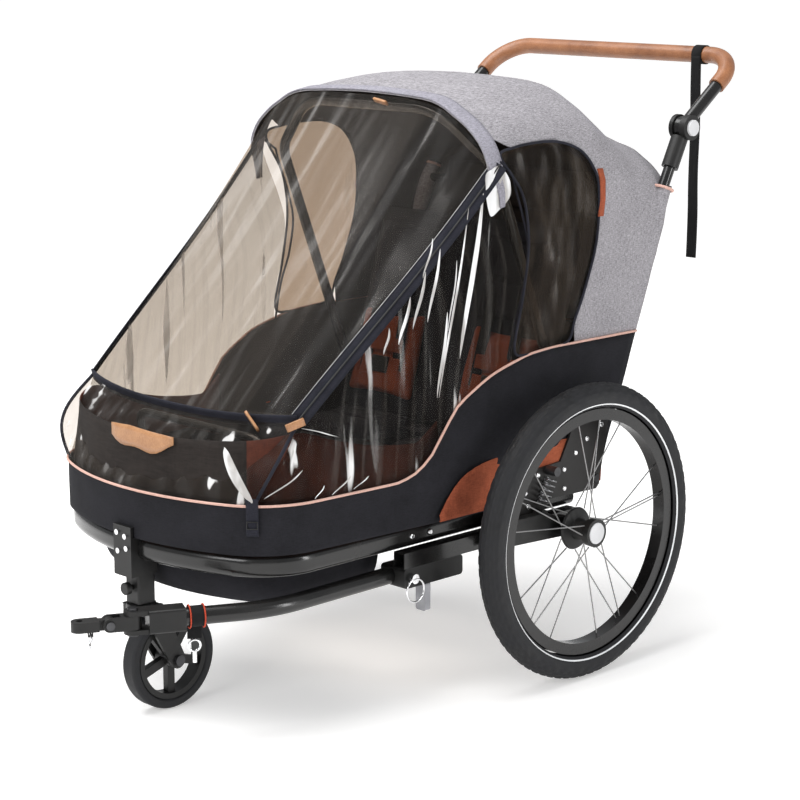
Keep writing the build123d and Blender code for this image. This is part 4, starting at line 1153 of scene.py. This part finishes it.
SPRING_FOOT, SPRING_HEAD = Vector((314, -56, 290)), Vector((314, -28, 340))
COIL_R, TURNS = 10.0, 5.5
along = (SPRING_HEAD - SPRING_FOOT).normalized()
sideways = Vector((1, 0, 0))
across = along.cross(sideways)
for side in (LEFT, RIGHT):
    coil = []
    for k in range(161):
        s = k / 160
        turn = 2 * pi * TURNS * s
        p = SPRING_FOOT.lerp(SPRING_HEAD, mix(0.07, 0.93, s))
        p = p + (sideways * cos(turn) + across * sin(turn)) * COIL_R
        coil.append(at(side * p.x, p.y, p.z))
    spring = pipe(f"coil_{names[side]}", coil, 0.0015, "spring_steel")
    place(spring, "chassis", "bright_steel", f"spring_{names[side]}")
    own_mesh(spring)

# ---- wrist strap


def route(points):
    """The smooth line of a strap or cord that has these control points, as points read from its spline."""
    curve = bpy.data.curves.new("route", "CURVE")
    curve.dimensions = "3D"
    curve.resolution_u = 16
    line = curve.splines.new("NURBS")
    line.points.add(len(points) - 1)
    for target, p in zip(line.points, points):
        target.co = (*p, 1)
    line.order_u = 3
    line.use_endpoint_u = True
    obj = bpy.data.objects.new("route", curve)
    bpy.context.collection.objects.link(obj)
    bpy.context.view_layer.update()
    found = [v.co.copy() for v in bpy.data.meshes.new_from_object(obj).vertices]
    bpy.data.objects.remove(obj)
    return found


STRAP_X, BAR_Z, LOOP_R = 0.196, 1.008, 0.0163
strap_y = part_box("wrist_strap")[0][1]
strap_route = [
    (0.196, strap_y + 0.001, 1.006), (0.196, strap_y + 0.001, 0.96), (0.1965, strap_y + 0.003, 0.88),
    (0.1955, strap_y + 0.001, 0.79), (0.1965, strap_y + 0.003, 0.71), (0.196, strap_y + 0.001, 0.642),
]
strap_line = route(strap_route)
tail = ribbon("strap_tail", strap_line, lambda i: Vector((1, 0.06 * sin(i / 9), 0)), 0.02, 0.0034, "webbing")
place(tail, "handlebar", "black_webbing", "wrist_strap")
loop_rows = []
for k in range(33):
    a = 2 * pi * k / 32
    loop_rows.append([
        Vector((STRAP_X + w, strap_y + 0.0168 + LOOP_R * cos(a), BAR_Z + LOOP_R * sin(a)))
        for w in (-0.0105, 0, 0.0105)
    ])
loop = thicken(clean(grid("strap_loop", loop_rows, ["webbing"])), 0.0018)
place(loop, "handlebar", "black_webbing")
flatten(tail, BAR_Z, 0.25)
flatten(loop, BAR_Z, 0.9)

# ---- edging on the hitch's safety strap


def in_hitch(u, v, z):
    """A point along the tow arm's end: u forwards, v to the side and z up from the arm's axis."""
    return at(180 - 0.462 * u + 0.887 * v, -745 - 0.887 * u - 0.462 * v, 220 + z)


for u in (-59, -37):
    ring = [in_hitch(u, 17.4 * cos(2 * pi * k / 40), 17.4 * sin(2 * pi * k / 40)) for k in range(40)]
    place(pipe(f"strap_edging_{-u}", ring, 0.0012, "red", True), "chassis", "black_webbing")

# ---- camera, floor and lights

camera = bpy.data.objects.new("camera", bpy.data.cameras.new("camera"))
bpy.context.collection.objects.link(camera)
camera.location = (2.7397, -2.5799, 1.2434)
camera.rotation_euler = (radians(78.0015), 0, 0.79519)
camera.data.sensor_width = 36
camera.data.lens = 101.503
bpy.context.scene.camera = camera

floor_material = Tree("pale_floor")
pale = floor_material.ramp(floor_material.grain(3), (0.83, 0.82, 0.81), (0.86, 0.855, 0.85))
floor_material.set(Base_Color=pale)
far = floor_material.add("ShaderNodeTexGradient", {"Vector": floor_material.stretched((0.22, 0.22, 0.22))},
                         gradient_type="SPHERICAL").outputs["Fac"]
inputs = {"Value": far, "From Min": 0, "From Max": 0.8, "To Min": 0.62, "To Max": 0.36}
glow = floor_material.add("ShaderNodeMapRange", inputs).outputs["Result"]
floor_material.set(Roughness=0.75, Emission_Color=(1, 0.99, 0.98, 1), Emission_Strength=glow)
mesh = bpy.data.meshes.new("ground")
mesh.from_pydata([(-30, -30, 0), (30, -30, 0), (30, 30, 0), (-30, 30, 0)], [], [(0, 1, 2, 3)])
mesh.materials.append(floor_material.material)
ground = bpy.data.objects.new("ground", mesh)
bpy.context.collection.objects.link(ground)

world = bpy.context.scene.world or bpy.data.worlds.new("world")
bpy.context.scene.world = world
world.use_nodes = True
tree = world.node_tree
tree.nodes["Background"].inputs["Color"].default_value = (0.96, 0.98, 1.0, 1)
tree.nodes["Background"].inputs["Strength"].default_value = 0.5
seen = tree.nodes.new("ShaderNodeBackground")
seen.inputs["Color"].default_value = (1, 1, 1, 1)
path = tree.nodes.new("ShaderNodeLightPath")
both = tree.nodes.new("ShaderNodeMixShader")
direct = tree.nodes.new("ShaderNodeMath")
direct.operation = "MAXIMUM"
for source, target in (
    (path.outputs["Is Camera Ray"], direct.inputs[0]),
    (path.outputs["Is Transmission Ray"], direct.inputs[1]),
    (direct.outputs[0], both.inputs["Fac"]),
    (tree.nodes["Background"].outputs[0], both.inputs[1]),
    (seen.outputs[0], both.inputs[2]),
    (both.outputs[0], tree.nodes["World Output"].inputs["Surface"]),
):
    tree.links.new(source, target)


def lamp(name, where, target, size, power):
    """A rectangular studio light that faces a point."""
    data = bpy.data.lights.new(name, "AREA")
    data.shape = "RECTANGLE"
    data.size, data.size_y = size
    data.energy = power
    obj = bpy.data.objects.new(name, data)
    obj.location = where
    obj.rotation_euler = (Vector(target) - Vector(where)).to_track_quat("-Z", "Y").to_euler()
    bpy.context.collection.objects.link(obj)


lamp("top_light", (-0.6, -0.8, 3.6), (0, 0, 0.4), (3.4, 2.8), 165)
lamp("front_light", (0.4, -4.2, 2.2), (0, 0, 0.6), (2.2, 1.4), 60)
lamp("side_strip", (3.2, 1.0, 1.0), (0, 0, 0.6), (0.4, 1.8), 32)

bpy.context.scene.view_settings.view_transform = "Standard"
